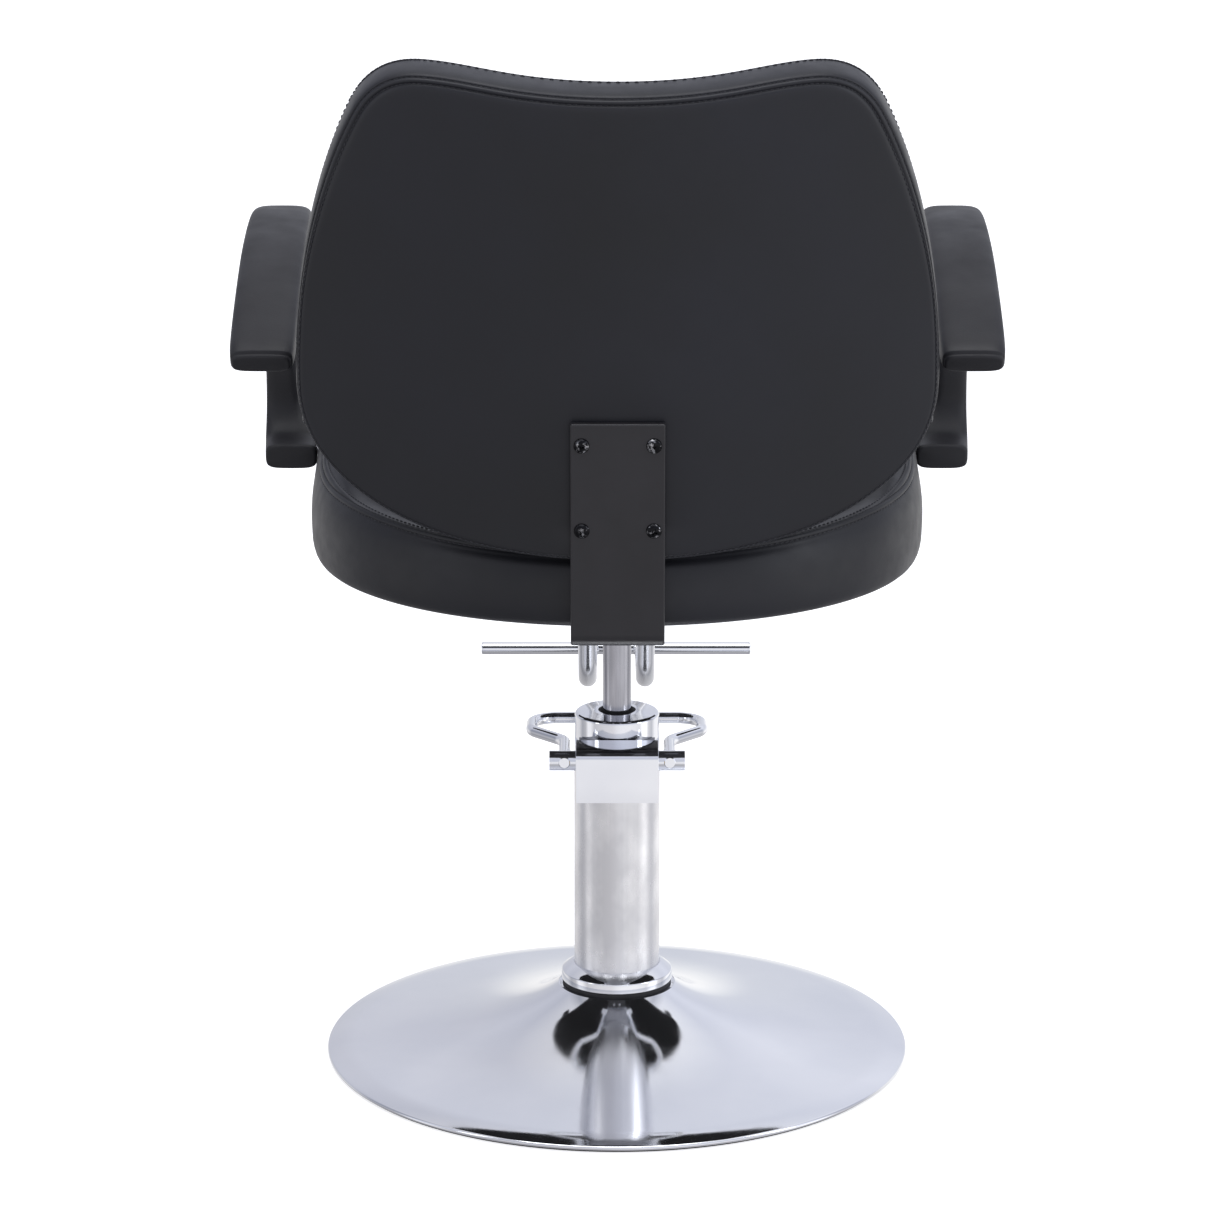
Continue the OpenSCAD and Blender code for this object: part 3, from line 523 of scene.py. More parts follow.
def stitches(name, line, outward, pitch, radius=0.42):
    """A row of sewn stitches on the seat's body, along a closed line in metres, with outward normals."""
    length = np.linalg.norm(np.diff(np.concatenate([line, line[:1]]), axis=0), axis=1).sum()
    count = int(round(length / (pitch * MM)))
    even = resample(np.concatenate([line, outward], 1), count * 2)
    pts, nor = even[::2, :3], even[::2, 3:]
    ahead = even[1::2, :3] - pts
    tan = ahead / np.linalg.norm(ahead, axis=1)[:, None]
    nor = nor - tan * (nor * tan).sum(1)[:, None]
    nor /= np.linalg.norm(nor, axis=1)[:, None]
    side = np.cross(tan, nor)
    half = pitch * STITCH_SHARE / 2 * MM
    r = radius * MM
    turn = np.linspace(0, 2 * math.pi, 8, endpoint=False)
    verts, faces = [], []
    for i in range(count):
        rings = [pts[i] + tan[i] * half * s + nor[i] * r * lift
                 + r * wide * (np.cos(turn)[:, None] * side[i] + np.sin(turn)[:, None] * nor[i])
                 for s, wide, lift in STITCH_SHAPE]
        v, f = ring_skin(rings, True, True)
        base = len(verts) * len(v)
        verts.append(v)
        faces += [tuple(base + k for k in face) for face in f]
    new_piece(name, np.concatenate(verts), faces, "black_vinyl", "seat", 0, thread)


def box_mm(node):
    """The lowest and the highest corner of a CAD node, in mm."""
    low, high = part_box(node)
    return np.array(low) / MM, np.array(high) / MM


# ---------------------------------------------------------------- base

low, high = box_mm("base_disc")
BASE_R, LAND_Z = high[0], high[2]
RIM_Z, LAND_R, FLARE = 8.0, 50.0, 0.4
dish = (LAND_Z - RIM_Z) / ((BASE_R / LAND_R) ** FLARE - 1)


def disc_z(r):
    return RIM_Z + dish * ((BASE_R / r) ** FLARE - 1)


def build_base():
    """The spun disc with its rolled rim, the gasket on its land, and the collar."""
    roll_r, roll_from, lip, droop = 2.2, 73, 24.0, 0.004
    sheet, bore_r, under_step = 2.5, 37.0, 6
    end_r = BASE_R - roll_r * (1 - math.cos(math.radians(roll_from)))
    radii = np.concatenate([LAND_R * ((BASE_R - lip) / LAND_R) ** np.linspace(0, 1, 60),
                            np.linspace(BASE_R - lip, end_r, 25)[1:]])

    def top_z(r):
        return disc_z(r) - droop * max(0.0, r - BASE_R + lip) ** 2

    top = [(r, top_z(r)) for r in radii]
    under = [(r, top_z(r) - sheet) for r in radii[:-3][::-under_step]]
    centre = (BASE_R - roll_r, top_z(end_r) - roll_r * math.sin(math.radians(roll_from)))
    rim = arc(centre, roll_r, 70, -50, 12)
    land = [(bore_r, LAND_Z - sheet), (bore_r, LAND_Z - 0.2), (bore_r + 0.4, LAND_Z),
            (LAND_R - 1.4, LAND_Z), (LAND_R - 0.6, LAND_Z - 0.1)]
    disc = lathe("base_disc_polished", land + top + rim + under, "chrome", "base", 384, 32, disc_chrome)
    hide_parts("base_disc")

    lo, hi = box_mm("collar_gasket")
    r, z0, z1 = hi[0], lo[2], hi[2]
    gasket = lathe("collar_gasket_ring",
                   [(36.4, z0), (36.4, z1), (r - 0.8, z1), (r - 0.2, z1 - 0.6), (r, z1 - 2.0),
                    (r - 0.2, z0 + 0.6), (r - 0.8, z0)],
                   "black_rubber", "base")
    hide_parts("collar_gasket")

    lo, hi = box_mm("base_collar")
    r, z0, z1 = hi[0], lo[2], hi[2]
    collar = lathe("base_collar_turned",
                   [(36.5, z0), (36.5, z1 - 0.3), (36.9, z1), (37.6, z1)]
                   + arc((r - 1.6, z1 - 7.4), 1.4, 66, 8, 6) + arc((r - 1.0, z0 + 1.0), 1.0, 0, -90, 6),
                   "chrome", "base", 256, crease=50)
    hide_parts("base_collar")


build_base()

# ---------------------------------------------------------------- lever and footrest

low, high = box_mm("lever_axle")
AXLE_Y, AXLE_Z = 50.0, (low[2] + high[2]) / 2


def build_lever():
    """The bent rod: two arms, a neck and a wider loop for the foot, placed from the axle."""
    slope, rod_r = math.radians(3.0), 5.0
    arm_x, loop_x = 44.4, 73.5
    half = [(arm_x, 9.0), (arm_x, -68.0), (loop_x, -106.0), (loop_x, -153.0)]
    bends = [26, 20, 22]
    corners = half + [(-x, y) for x, y in half[::-1]]
    placed = [(x, AXLE_Y + y * math.cos(slope), AXLE_Z + y * math.sin(slope)) for x, y in corners]
    path = rounded_path(placed, bends + bends[::-1], 18)
    rod = sweep("pump_lever_rod", path, rod_r, "chrome", "lever", 48, 0.7)
    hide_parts("pump_lever")


def build_footrest():
    """Two bent tubes under the seat and a cross bar, each joint with a weld bead that follows the bar."""
    tube_x, tube_r, top_y, knee_y, knee_z, knee_r = 26, 8.5, -190, -264, 252, 48
    lo, hi = box_mm("footrest_bar")
    y, z, r = (lo[1] + hi[1]) / 2, (lo[2] + hi[2]) / 2, (hi[2] - lo[2]) / 2
    plate_z = box_mm("footrest_mount_plate")[0][2]
    line = [(x, y, z) for x in np.linspace(lo[0], hi[0], 5)]
    bar = sweep("footrest_cross_bar", line, r, "chrome", "seat", 56, 0.3)
    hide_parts("footrest_bar")
    turn = np.linspace(0, 2 * math.pi, 72, endpoint=False)
    small = np.linspace(0, 2 * math.pi, 12, endpoint=False)
    for side, sign in (("left", 1), ("right", -1)):
        x = sign * tube_x
        path = rounded_path([(x, top_y, plate_z), (x, knee_y, knee_z), (x, y + r * 0.8, z)], [knee_r], 30)
        tube = sweep("footrest_tube_bent_" + side, path, tube_r, "chrome", "seat", 56, 0.2, tube_chrome)
        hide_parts("footrest_tube_" + side)
        rings = []
        for i, a in enumerate(turn):
            around = np.array([math.cos(a), 0, math.sin(a)])
            height = abs(tube_r * math.sin(a))
            reach = y + (math.sqrt(r * r - height * height) if height < r else 1.5)
            centre = np.array([x, reach + 0.4, z]) + around * (tube_r - 0.2)
            bead = 1.5 + 0.22 * math.sin(i * 2.1) + 0.12 * math.sin(i * 5.3)
            rings.append([centre + bead * (math.cos(b) * around + math.sin(b) * np.array([0, 1, 0]))
                          for b in small])
        verts, faces = ring_skin(np.array(rings) * MM, loop=True)
        new_piece("footrest_weld_" + side, verts, faces, "chrome", "seat", 0, weld_steel)


COVER_WALL, COVER_ROLL, COVER_TILT, COVER_ROOF_Y = 1.2, 7.5, 6.0, 38.0


def cover_heights(top_z, rear_y):
    """(height of the roof's front edge, height of the centre of the rolled edge)."""
    fall = math.tan(math.radians(COVER_TILT))
    lip_z = top_z - 0.1 + (AXLE_Y - COVER_ROOF_Y) * fall
    run = rear_y - COVER_ROOF_Y - COVER_ROLL
    return lip_z, lip_z - run * fall - COVER_ROLL / math.cos(math.radians(COVER_TILT))


def build_cover():
    """The folded plate over the lever axle: a sloping roof, a rolled edge and a rear face."""
    lo, hi = box_mm("axle_cover")
    edge, rear_y, low_z = 0.3, hi[1], lo[2]
    lip_z, bend_z = cover_heights(hi[2], rear_y)
    centre = (rear_y - COVER_ROLL, bend_z)

    def side_line(inset):
        """Roof, rolled edge and rear face in side view, inset from the outside."""
        rolled = arc(centre, COVER_ROLL - inset, 90 - COVER_TILT, 0, 14)
        return [(COVER_ROOF_Y, lip_z - inset)] + rolled + [(rear_y - inset, low_z)]

    outer, inner = side_line(0), side_line(COVER_WALL)
    profile = np.array(outer + inner[::-1])
    towards = np.array(inner + outer[::-1]) - profile
    rows = []
    for x, shrink in ((lo[0], edge), (lo[0] + edge, 0), (hi[0] - edge, 0), (hi[0], edge)):
        drawn = profile + towards * (shrink / COVER_WALL)
        rows.append([(x, y, z) for y, z in drawn])
    verts, faces = ring_skin(np.array(rows) * MM)
    count = len(profile)
    faces = [f[::-1] for f in faces]
    for start, flip in ((0, False), (3 * count, True)):
        for i in range(count // 2 - 1):
            quad = (start + i, start + i + 1, start + count - 2 - i, start + count - 1 - i)
            faces.append(quad[::-1] if flip else quad)
    piece = new_piece("axle_cover_folded", verts, faces, "chrome", "base", 28)
    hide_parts("axle_cover")


def ray_to_edge(corners, start, direction):
    """How far a ray runs from start, inside a polygon, to the polygon's edge."""
    nearest = math.inf
    for (y1, z1), (y2, z2) in zip(corners, corners[1:] + corners[:1]):
        along_y, along_z = y2 - y1, z2 - z1
        det = direction[0] * along_z - direction[1] * along_y
        if abs(det) < 1e-9:
            continue
        from_y, from_z = y1 - start[0], z1 - start[1]
        far = (from_y * along_z - from_z * along_y) / det
        share = (from_y * direction[1] - from_z * direction[0]) / det
        if far > 0 and -1e-6 <= share <= 1 + 1e-6:
            nearest = min(nearest, far)
    return nearest


def build_cover_flanges():
    """The cover's two sides, each with the hole of the axle."""
    lo, hi = box_mm("axle_cover")
    hole_r, rear_y = 9.5, hi[1]
    bend_z = cover_heights(hi[2], rear_y)[1]
    inner_y = rear_y - COVER_WALL + 0.2
    corners = [(lo[1], lo[2]), (inner_y, lo[2]), (inner_y, bend_z),
               (rear_y - COVER_ROLL, bend_z + COVER_ROLL - COVER_WALL + 0.2),
               (COVER_ROOF_Y + 2, hi[2] - COVER_WALL - 1.2), (lo[1], hi[2] - 4.0)]
    axle = np.array([AXLE_Y, AXLE_Z])
    turn = np.linspace(0, 2 * math.pi, 144, endpoint=False)
    ways = np.stack([np.cos(turn), np.sin(turn)], 1)
    hole = axle + hole_r * ways
    edge = np.array([axle + ray_to_edge(corners, axle, way) * way for way in ways])
    inside, outside = hi[0] - COVER_WALL, hi[0] - 0.05
    for side, sign in (("left", 1), ("right", -1)):
        rows = [np.column_stack([np.full(len(line), sign * x), line])
                for x, line in ((inside, hole), (inside, edge), (outside, edge), (outside, hole))]
        verts, faces = ring_skin(np.array(rows) * MM, loop=True)
        if sign > 0:
            faces = [f[::-1] for f in faces]
        new_piece("axle_cover_flange_" + side, verts, faces, "chrome", "base", 28)


def build_spring():
    """The plunger's return spring, built as a fixed coil; the real one shortens as the lever is pressed."""
    lo, hi = box_mm("plunger_spring")
    turns, wire = 6, 0.5
    coil, mid_y = (hi[0] - lo[0]) / 2 - wire, (lo[1] + hi[1]) / 2
    a = np.linspace(0, 2 * math.pi * turns, turns * 36 + 1)
    path = np.stack([coil * np.cos(a), mid_y + coil * np.sin(a),
                     lo[2] + wire + (hi[2] - lo[2] - 2 * wire) * a / a[-1]], 1)
    spring = sweep("plunger_spring_coil", path, wire, "bolt_steel", "base", 12, 0.15)
    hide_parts("plunger_spring")
    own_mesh(spring)


build_lever()
build_cover()
build_cover_flanges()
build_spring()
build_footrest()

# ---------------------------------------------------------------- back: shared frame and outline

LEAN = math.radians(8.0)
BACK_Y, BACK_Z, BACK_R = 227.0, 500.0, 600.0


def back_place(x, v, w):
    """World mm of a point of the back: x across, v up the rear face, w forward from it."""
    x, v, w = np.broadcast_arrays(np.asarray(x, float), np.asarray(v, float), np.asarray(w, float))
    y = -BACK_R + np.sqrt((BACK_R - w) ** 2 - x * x)
    return np.stack([x, BACK_Y + y * math.cos(LEAN) + v * math.sin(LEAN),
                     BACK_Z - y * math.sin(LEAN) + v * math.cos(LEAN)], -1)


def bezier(p, t):
    """Points of a cubic curve with control points p."""
    p = [np.asarray(q, float) for q in p]
    t = np.asarray(t, float)[:, None]
    return (1 - t) ** 3 * p[0] + 3 * t * (1 - t) ** 2 * p[1] + 3 * t * t * (1 - t) * p[2] + t ** 3 * p[3]


def superellipse(a, b, n, angles):
    """An ellipse with half axes a and b, squarer as n grows past 2."""
    c, s = np.cos(angles), np.sin(angles)
    return np.stack([a * np.sign(c) * np.abs(c) ** (2 / n), b * np.sign(s) * np.abs(s) ** (2 / n)], 1)


def back_outline():
    """The closed outline of the back's rear face: round below, two horns and a dip on top."""
    half_w = box_mm("back_panel")[1][0]
    foot_h, foot_z, shoulder_z, horn_z, dip_z, horn_x = 133, 125, 356, 390, 378, 152
    neck_x = half_w - 49
    quarter = np.radians(np.linspace(-90, 0, 90, endpoint=False))
    bottom = superellipse(half_w, foot_h, 2.3, quarter) + [0, foot_z]
    side = bezier([(half_w, foot_z), (half_w, 215), (half_w - 20, 300), (neck_x, shoulder_z)],
                  np.linspace(0, 1, 50, endpoint=False))
    corner = bezier([(neck_x, shoulder_z), (half_w - 61, dip_z), (177, horn_z), (horn_x, horn_z)],
                    np.linspace(0, 1, 30, endpoint=False))
    top = bezier([(horn_x, horn_z), (110, horn_z), (85, dip_z), (0, dip_z)],
                 np.linspace(0, 1, 60, endpoint=False))
    right = np.concatenate([bottom, side, corner, top])
    left = right[1:][::-1] * [-1, 1]
    return np.concatenate([right, [[0, dip_z]], left])


def row_normals(rings, i):
    """Unit normals along ring i of a skin, pointing out of it."""
    along = np.roll(rings[i], -1, 0) - np.roll(rings[i], 1, 0)
    n = np.cross(along, rings[min(i + 2, len(rings) - 1)] - rings[max(i - 2, 0)])
    n /= np.linalg.norm(n, axis=1)[:, None]
    middle = rings.reshape(-1, 3).mean(0)
    return n if ((rings[i] - middle) * n).sum() > 0 else -n


def sew(name, rings, i, proud, pitch, radius=0.42):
    """Stitches along ring i of a skin, standing proud of it by so many mm."""
    normals = row_normals(rings, i)
    stitches(name, rings[i] + normals * proud * MM, normals, pitch, radius)


# points round each cushion, and the fine gathering of the cover along its seams
COUNT = 960
PUCKER = 0.16 * np.cos(np.arange(COUNT) * 2 * math.pi / 3.0)


def build_back():
    """The back as one skin: rear panel, twin seam, boxing band, front seam and crowned front panel."""
    loop = smooth_loop(resample(back_outline(), COUNT), 30)
    norm = smooth_loop(inward(loop), 12)
    centre = np.array([0.0, 190.0])
    inset, proud_w, pressed_w = 22, -1.0, 0.9
    height = (loop[:, 1] + 8) / 398
    tight = 0.42 + 0.58 * ease((height - 0.5) / 0.4)
    deep = 0.35 + 0.65 * ease((height - 0.8) / 0.15)

    def at(d, w, gather=0.0):
        """Ring inset d from the outline at depth w, both in mm, with a share of the gathering."""
        p = loop + norm * d
        return back_place(p[:, 0], p[:, 1], w + gather * PUCKER)

    def close(d, w, gather=0.0):
        """The same, drawn out to the edge at the sides and the foot of the back."""
        p = loop + norm * (d * tight)[:, None]
        return back_place(p[:, 0], p[:, 1], w + gather * PUCKER)

    def inner(k):
        """Flat outline of a panel, drawn in towards the middle by share k."""
        return centre + (loop + norm * inset - centre) * k

    # rear panel: a thin pad over the board, pressed in under the bracket and rolled into a twin seam
    rings = []
    for k in (0.05, 0.15, 0.27, 0.39, 0.50, 0.60, 0.69, 0.77, 0.84, 0.90, 0.945, 0.975):
        p = inner(k)
        near = np.exp(-((np.abs(p[:, 0]) / 46) ** 4)) * np.exp(-((np.clip(p[:, 1] - 112, 0, None) / 10) ** 2))
        rings.append(back_place(p[:, 0], p[:, 1], proud_w * (1 - near) + pressed_w * near))
    rings.append(at(inset, -0.95))
    rings += [close(d, w) for d, w in ((18, -0.95), (14.5, -0.9), (12.2, -0.75), (10.8, -0.45))]
    rings.append(close(9.9, 0.05 * deep - 0.2 * (1 - deep), 0.25))
    rings += [close(9.2, 0.8 * deep, 1), close(8.7, 1.25 * deep, 1)]
    first_groove = len(rings) - 1
    rings += [close(8.2, 0.85 * deep, 1), close(7.4, 0.1, 0.4)]
    rings += [close(d, w) for d, w in ((6.6, -0.15), (5.8, 0.0), (5.1, 0.5))]
    rings += [close(4.7, 1.3, 0.5), close(4.45, 2.5, 0.5), close(4.2, 3.1)]
    second_groove = len(rings) - 2
    # boxing band
    rings += [close(d, w) for d, w in (
        (3.7, 2.5), (3.0, 2.7), (2.2, 3.7), (1.5, 5.4), (0.95, 7.6), (0.5, 10.3), (0.2, 13.5))]
    rings += [at(d, w) for d, w in (
        (0.0, 17), (-0.1, 21), (-0.05, 25), (0.1, 28.5), (0.3, 31.5), (0.5, 33.6))]
    front_stitch = len(rings)
    rings += [at(0.55, 34.8, 0.4), at(0.75, 35.7, 1)]
    rings += [at(1.5, 36.3), at(2.2, 36.9), at(1.7, 37.6), at(1.1, 38.6, 0.5)]
    # front panel: foam crown with a lumbar swell
    rings += [at(d, w) for d, w in (
        (1.2, 40.0), (2.0, 42.4), (3.4, 45.0), (5.6, 48.0), (8.4, 51.0), (12.0, 54.0), (16.5, 57.0),
        (inset, 59.8))]
    for k, w in ((0.96, 62.0), (0.91, 64.2), (0.85, 66.0), (0.78, 67.4), (0.69, 68.5),
                 (0.58, 69.2), (0.46, 69.7), (0.33, 70.0), (0.20, 70.2), (0.07, 70.3)):
        p = inner(k)
        lumbar = 2.4 * np.exp(-((p[:, 1] - 110) / 60) ** 2)
        rings.append(back_place(p[:, 0], p[:, 1], w + lumbar))
    rings = np.array(rings) * MM
    verts, faces = ring_skin(rings, True, True)
    piece = new_piece("back_upholstery", verts, faces, "black_vinyl", "seat", 0)
    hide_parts("back_panel", "back_cushion")

    sew("back_rear_stitching", rings, first_groove, 0.25, 4.6)
    sew("back_rear_seam_stitching", rings, second_groove, 0.15, 4.6, 0.3)
    proud = (0.35 * ease((height - 0.84) / 0.08) - 0.3 * (height < 0.84))[:, None]
    sew("back_front_stitching", rings, front_stitch, proud, 5.0, 0.5)
    build_boxing_joins(loop, norm)


def build_boxing_joins(loop, norm):
    """The boxing strip is joined at both lower sides: a short cross seam with a small tuck."""
    join_x, join_z, first, last = 247.5, 91, 3.2, 35.0
    tuck = ((-2.4, -0.9), (-1.3, 0.35), (-0.45, 0.55), (0.0, -0.25),
            (0.5, 0.6), (1.4, 0.35), (2.4, -0.9), (0.0, -1.8))
    for side, sign in (("left", 1), ("right", -1)):
        i = int(np.argmin(np.hypot(loop[:, 0] - sign * join_x, loop[:, 1] - join_z)))
        along = loop[(i + 3) % COUNT] - loop[i - 3]
        along /= np.linalg.norm(along)
        rows = []
        for w in np.linspace(first, last, 22):
            bulge = -0.35 - 0.5 * math.sin(math.pi * (w - first) / (last - first)) + (1.1 if w < 5 else 0)
            base = loop[i] + norm[i] * bulge
            rows.append([back_place(*(base + along * a - norm[i] * b), w) for a, b in tuck])
        verts, faces = ring_skin(np.array(rows) * MM, True, True)
        new_piece("back_boxing_join_" + side, verts, faces, "black_vinyl", "seat", 60)


build_back()

# ---------------------------------------------------------------- seat

SEAT_SLOPE = math.tan(math.radians(5.0))
SEAM_Z = 511.0


def seat_outline():
    """The closed outline of the seat: round behind, squarer in front."""
    lo, hi = box_mm("seat_cushion")
    rear_y, front_y, middle_y, front_depth = hi[1], lo[1], -45, 90
    t = np.radians(np.linspace(0, 180, 240, endpoint=False))
    rear = superellipse(hi[0] - 2, rear_y - middle_y, 2.1, t) + [0, middle_y]
    front = superellipse(hi[0], front_depth, 3.6, t + math.pi) + [0, front_y + front_depth]
    return np.concatenate([rear, front])


def build_seat():
    """The seat as one skin: rounded underside, side band, twin seam and crowned top."""
    low_z = box_mm("seat_cushion")[0][2]
    loop = smooth_loop(resample(seat_outline(), COUNT), 60)
    norm = smooth_loop(inward(loop), 20)
    centre = np.array([0.0, -30.0])
    inset, rear_rise = 25, 3.2
    rear = ease((loop[:, 1] - 15) / 105)
    seam = SEAM_Z - SEAT_SLOPE * loop[:, 1] + rear_rise * rear
    drop = 1 - 1.22 * rear

    def at(d, z, gather=0.0):
        """Ring inset d from the outline at height z, both in mm, with a share of the gathering."""
        p = loop + norm * d
        return np.stack([p[:, 0], p[:, 1], np.broadcast_to(z, (COUNT,)) + gather * PUCKER], 1)

    def band(share, d):
        """Ring at a share of the way from the underside to the seam."""
        return at(d, low_z + (seam - low_z) * share)

    rings = [at(d, low_z + h) for d, h in (
        (15.0, 0.6), (12.5, 0.1), (10.0, 0.5), (7.6, 1.6), (5.5, 3.3), (3.8, 5.6), (2.4, 8.6), (1.35, 12.4),
        (0.6, 17.0))]
    rings += [band(share, d) for share, d in (
        (0.33, 0.15), (0.42, 0.0), (0.51, 0.05), (0.60, 0.5), (0.69, 1.35), (0.77, 2.6), (0.84, 4.1))]
    # twin seam: inset, height over the seam line, share of the gathering
    side_groove = len(rings) + 4
    rings += [at(d, seam + h, gather) for d, h, gather in (
        (5.4, -9.2, 0), (6.3, -7.2, 0), (6.9, -6.0, 0.3), (7.5, -5.3, 1), (7.75, -4.8, 1), (7.5, -4.3, 1),
        (7.2, -3.6, 0.4), (7.4, -2.6, 0), (7.9, -1.5, 0), (8.7, -0.7, 0), (9.8, -0.4, 0), (10.3, 0.1, 0))]
    seam_groove = len(rings) - 2
    top_groove = len(rings) + 5
    rings += [at(d, seam + h * drop, gather) for d, h, gather in (
        (10.0, 1.1, 0), (10.3, 2.1, 0), (11.2, 3.1, 0), (12.6, 3.7, 0), (13.8, 3.5, 0.4), (14.6, 3.1, 1),
        (15.2, 3.3, 1), (16.2, 4.3, 0), (18.0, 5.4, 0), (21.0, 6.8, 0), (25.0, 8.2, 0))]
    # crowned top, with a shallow dent where one sits
    for k, h in ((0.965, 9.6), (0.92, 11.2), (0.86, 12.8), (0.79, 14.2), (0.70, 15.3),
                 (0.60, 16.1), (0.48, 16.7), (0.35, 17.1), (0.21, 17.3), (0.08, 17.4)):
        p = centre + (loop + norm * inset - centre) * k
        back = ease((p[:, 1] - 5) / 110)
        dent = -3.0 * np.exp(-((p[:, 0] / 150) ** 2) - (((p[:, 1] - 10) / 120) ** 2))
        top = SEAM_Z - SEAT_SLOPE * p[:, 1] + rear_rise * back + h * (1 - 1.12 * back) + dent
        rings.append(np.stack([p[:, 0], p[:, 1], top], 1))
    rings = np.array(rings) * MM
    verts, faces = ring_skin(rings, False, True)
    piece = new_piece("seat_upholstery", verts, faces, "black_vinyl", "seat", 0)
    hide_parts("seat_cushion")
    sew("seat_side_stitching", rings, side_groove, 0.25, 4.8)
    sew("seat_seam_stitching", rings, seam_groove, 0.15, 4.8, 0.3)
    sew("seat_top_stitching", rings, top_groove, 0.25, 4.8)


build_seat()

# ---------------------------------------------------------------- armrests

# centre y and z, half thickness, inner x and outer x, in mm, from the rear tip round to the foot
ARM_X = box_mm("armrest_left")[1][0]
ARM_STATIONS = np.array([
    [130, 632, 8.5, 263, ARM_X - 2],
    [112, 641, 13, 260.5, ARM_X],
    [41, 669, 14, 260, ARM_X],
    [-40, 690, 14, 260, ARM_X],
    [-130, 697, 14, 261, ARM_X],
    [-190, 684, 14.5, 265, ARM_X],
    [-222, 650, 15, 274, ARM_X - 1],
    [-232, 600, 15, 281, ARM_X - 3],
    [-232, 550, 15, 281, ARM_X - 4],
    [-228, 515, 13, 277, ARM_X - 4],
    [-207, 489, 11, 264, ARM_X - 4],
    [-172, 483, 11, 262.3, ARM_X - 6]], float)


def arm_at(s):
    """The station at a place between the listed ones, on a smooth curve through them."""
    i = min(int(s), len(ARM_STATIONS) - 2)
    t = s - i
    last = len(ARM_STATIONS) - 1
    a, b = ARM_STATIONS[max(0, i - 1)], ARM_STATIONS[i]
    c, d = ARM_STATIONS[min(last, i + 1)], ARM_STATIONS[min(last, i + 2)]
    bend, twist = 2 * a - 5 * b + 4 * c - d, 3 * b - a - 3 * c + d
    return 0.5 * (2 * b + (c - a) * t + bend * t * t + twist * t ** 3)


def build_armrest(side, sign):
    """A moulded loop of rounded-square section with softly rounded ends."""
    sides, steps, squareness, end_r = 64, 12, 4.4, 3.2
    last = len(ARM_STATIONS) - 1
    path = np.array([arm_at(s) for s in np.linspace(0, last, last * steps + 1)])
    dirs = np.gradient(path[:, :2], axis=0)
    dirs /= np.linalg.norm(dirs, axis=1)[:, None]
    angles = np.linspace(0, 2 * math.pi, sides, endpoint=False)

    def ring(i, inset=0.0, shift=0.0):
        """The section at point i of the path, made smaller by inset and moved along by shift."""
        station, direction = path[i], dirs[i]
        half_w = (station[4] - station[3]) / 2 - inset
        half_t = station[2] - inset
        p = superellipse(half_w, half_t, squareness, angles)
        crown = 0.35 * np.cos(np.clip(p[:, 0] / half_w, -1, 1) * math.pi / 2)
        p[:, 1] += np.sign(p[:, 1]) * crown * (np.abs(p[:, 1]) > half_t * 0.6)
        x = (station[3] + station[4]) / 2 + p[:, 0]
        y = station[0] - direction[1] * p[:, 1] + direction[0] * shift
        z = station[1] + direction[0] * p[:, 1] + direction[1] * shift
        return np.stack([sign * x, y, z], 1)

    def rounded_end(i, way, turns):
        return [ring(i, end_r * (1 - math.cos(a)) * 0.9, way * end_r * (1 - math.sin(a)))
                for a in np.radians(turns)]

    clear = end_r + 0.8
    inner = [i for i in range(len(path)) if np.linalg.norm(path[i, :2] - path[0, :2]) > clear
             and np.linalg.norm(path[i, :2] - path[-1, :2]) > clear]
    rings = rounded_end(0, 1, (88, 66, 44, 22)) + [ring(0, 0.0, end_r + 0.3)]
    rings += [ring(i) for i in inner]
    rings += [ring(-1, 0.0, -(end_r + 0.3))] + rounded_end(-1, -1, (22, 44, 66, 88))
    verts, faces = ring_skin(np.array(rings) * MM, True, True)
    if sign < 0:
        faces = [f[::-1] for f in faces]
    piece = new_piece("armrest_moulded_" + side, verts, faces, "arm_skin", "seat", 0)
    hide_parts("armrest_" + side)


build_armrest("left", 1)
build_armrest("right", -1)

# ---------------------------------------------------------------- back bracket and its screws

SCREW_DX, SCREW_DZ, SCREW_TOP = 57.0, 72.0, 94.0
BRACKET_T, BRACKET_TOP = 6.0, 112


def off_back(v, out):
    """World (y, z) in mm of a point v up the back's rear face and out behind it."""
    return (BACK_Y + v * math.sin(LEAN) + out * math.cos(LEAN),
            BACK_Z + v * math.cos(LEAN) - out * math.sin(LEAN))


def build_bracket():
    """The flat steel: a leg under the seat, one bend, and the blade up the back's rear face."""
    lo, hi = box_mm("back_bracket")
    leg_z, front_y, bend_r = lo[2], lo[1], 14.0
    face_y = BACK_Y + BRACKET_T / math.cos(LEAN) - (BACK_Z - leg_z) * math.tan(LEAN)
    turn = 90 - math.degrees(LEAN)
    centre = (face_y - bend_r * math.tan(math.radians(turn) / 2), leg_z + bend_r)
    outer = arc(centre, bend_r, -90, turn - 90, 20)
    inner = arc(centre, bend_r - BRACKET_T, turn - 90, -90, 20)
    profile = ([(front_y, leg_z + BRACKET_T), (front_y, leg_z)] + outer
               + [off_back(BRACKET_TOP, BRACKET_T), off_back(BRACKET_TOP, 0)] + inner)
    count = len(profile)
    verts = [(x, y, z) for x in (lo[0], hi[0]) for y, z in profile]
    faces = [tuple(range(count))[::-1], tuple(range(count, 2 * count))]
    faces += [(i, (i + 1) % count, count + (i + 1) % count, count + i) for i in range(count)]
    piece = new_piece("back_bracket_steel", np.array(verts) * MM, faces, "bracket_paint", "seat", 0)
    bevel = piece.modifiers.new("edges", "BEVEL")
    bevel.width = 1.6 * MM
    bevel.segments = 3
    bevel.limit_method = "ANGLE"
    bevel.angle_limit = math.radians(35)
    piece.modifiers.new("shading", "WEIGHTED_NORMAL")
    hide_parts("back_bracket")


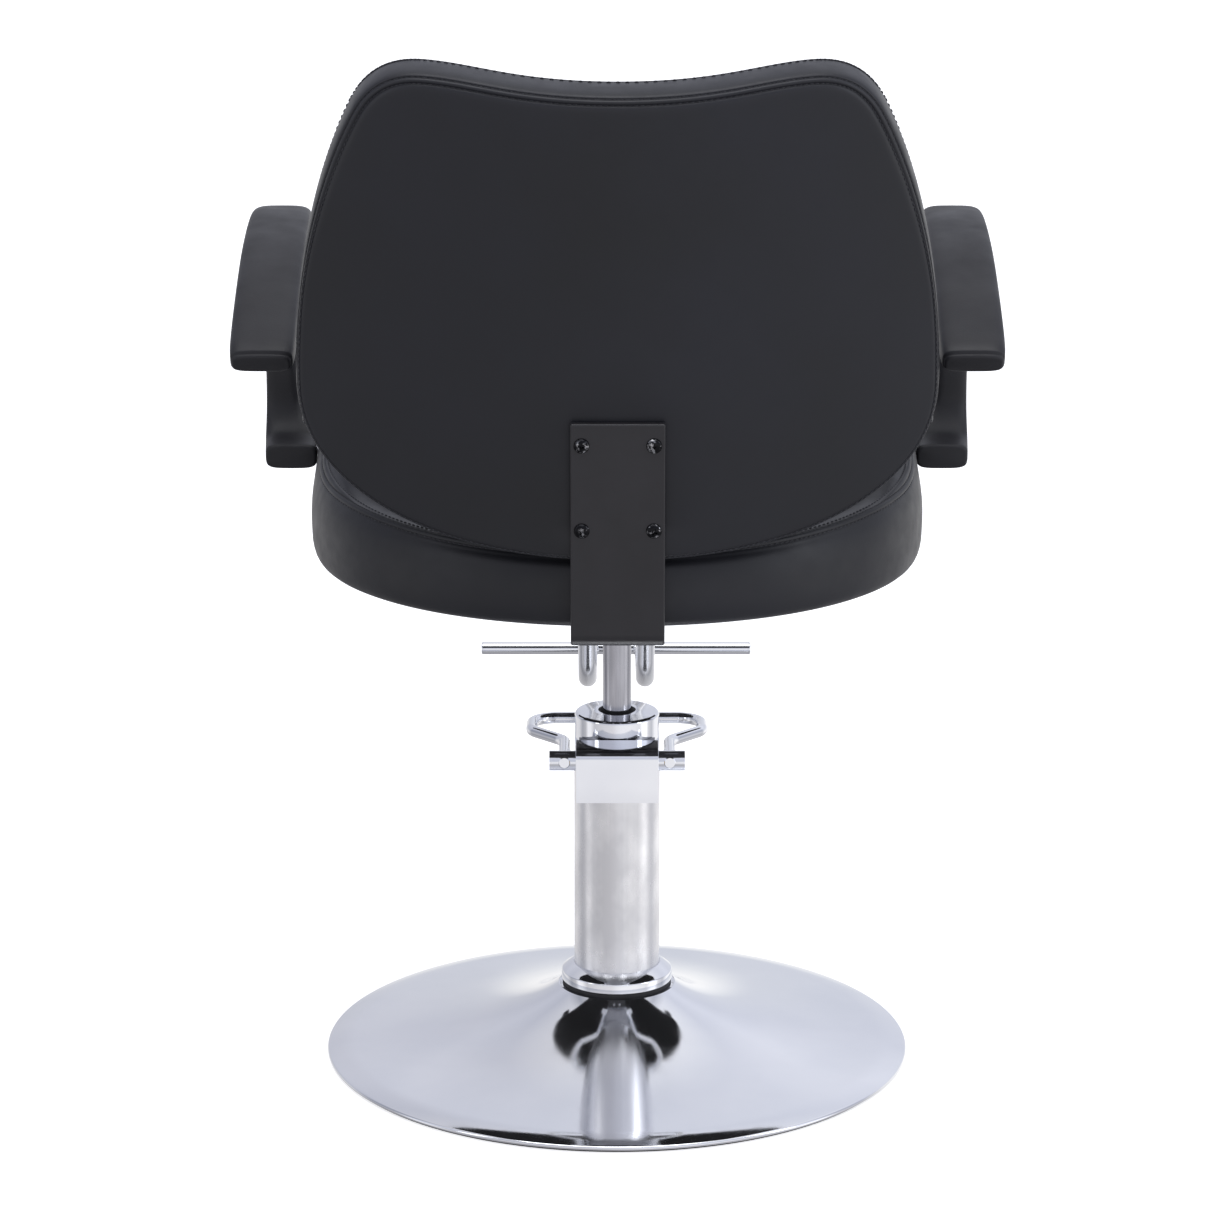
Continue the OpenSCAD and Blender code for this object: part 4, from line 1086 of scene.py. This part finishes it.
def screw_head(x0, v0, twist):
    """Points and faces of a domed head with a cross recess turned by twist."""
    head_r, dome_h, recess, slot_w, slot_l = 6.2, 3.3, 1.9, 0.78, 3.1
    turn = np.linspace(0, 2 * math.pi, 96, endpoint=False)

    def slot(across, along):
        return np.clip((slot_w - np.abs(across)) / 0.22, 0, 1) * np.clip((slot_l - np.abs(along)) / 0.7, 0, 1)

    def ring(r, h):
        y, z = off_back(v0 + r * np.sin(turn), BRACKET_T + h)
        return np.stack([x0 + r * np.cos(turn), y, z], 1)

    rings = []
    for r in np.concatenate([np.linspace(0.12, 4.2, 26), np.linspace(4.45, head_r, 10)]):
        dome = dome_h * math.sqrt(max(0.0, 1 - (r / (head_r + 0.15)) ** 2.6)) + 0.15
        a, b = r * np.cos(turn - twist), r * np.sin(turn - twist)
        rings.append(ring(r, dome - recess * np.maximum(slot(a, b), slot(b, a))))
    rings.append(ring(head_r, -0.3))
    return ring_skin(np.array(rings) * MM, True, False)


def build_screws():
    """Four screw heads on the bracket's rear face, each turned its own way."""
    verts, faces = [], []
    places = [(x, v) for x in (-SCREW_DX / 2, SCREW_DX / 2) for v in (SCREW_TOP - SCREW_DZ, SCREW_TOP)]
    for k, (x0, v0) in enumerate(places):
        v, f = screw_head(x0, v0, 0.35 + 0.9 * k)
        base = k * len(v)
        verts.append(v)
        faces += [tuple(base + q for q in face) for face in f]
    new_piece("bracket_screw_heads", np.concatenate(verts), faces, "dark_screw", "seat", 50)


build_bracket()
build_screws()

# ---------------------------------------------------------------- CAD nodes that stay

cad_slot = {row["node"]: row["material_slot"] for row in frame["record"]["subparts"]}
for name, obj in nodes.items():
    for slot in obj.material_slots:
        slot.material = materials[cad_slot[name]]

# ---------------------------------------------------------------- floor


def build_floor():
    """A pale grid that glows softly, so that the background stays white."""
    mesh = bpy.data.meshes.new("studio_floor")
    cells, half, low_z = 40, 30.0, -0.0003
    row = cells + 1
    grid = np.linspace(-half, half, row)
    verts = [(x, y, low_z) for y in grid for x in grid]
    starts = [j * row + i for j in range(cells) for i in range(cells)]
    faces = [(k, k + 1, k + row + 1, k + row) for k in starts]
    mesh.from_pydata(verts, [], faces)
    floor = bpy.data.objects.new("studio_floor", mesh)
    scene.collection.objects.link(floor)
    floor.visible_glossy = False
    floor.visible_diffuse = False
    glow, strength = (1, 1, 1.01, 1), 0.72
    s = Surface("studio_floor", Specular_IOR_Level=0.0, Emission_Color=glow, Emission_Strength=strength)
    s.colour(s.noise(1.5, 2.0), (0.80, 0.80, 0.80), (0.82, 0.82, 0.82))
    s.rough(s.noise(3.0), 0.8, 0.9)
    mesh.materials.append(s.material)


build_floor()
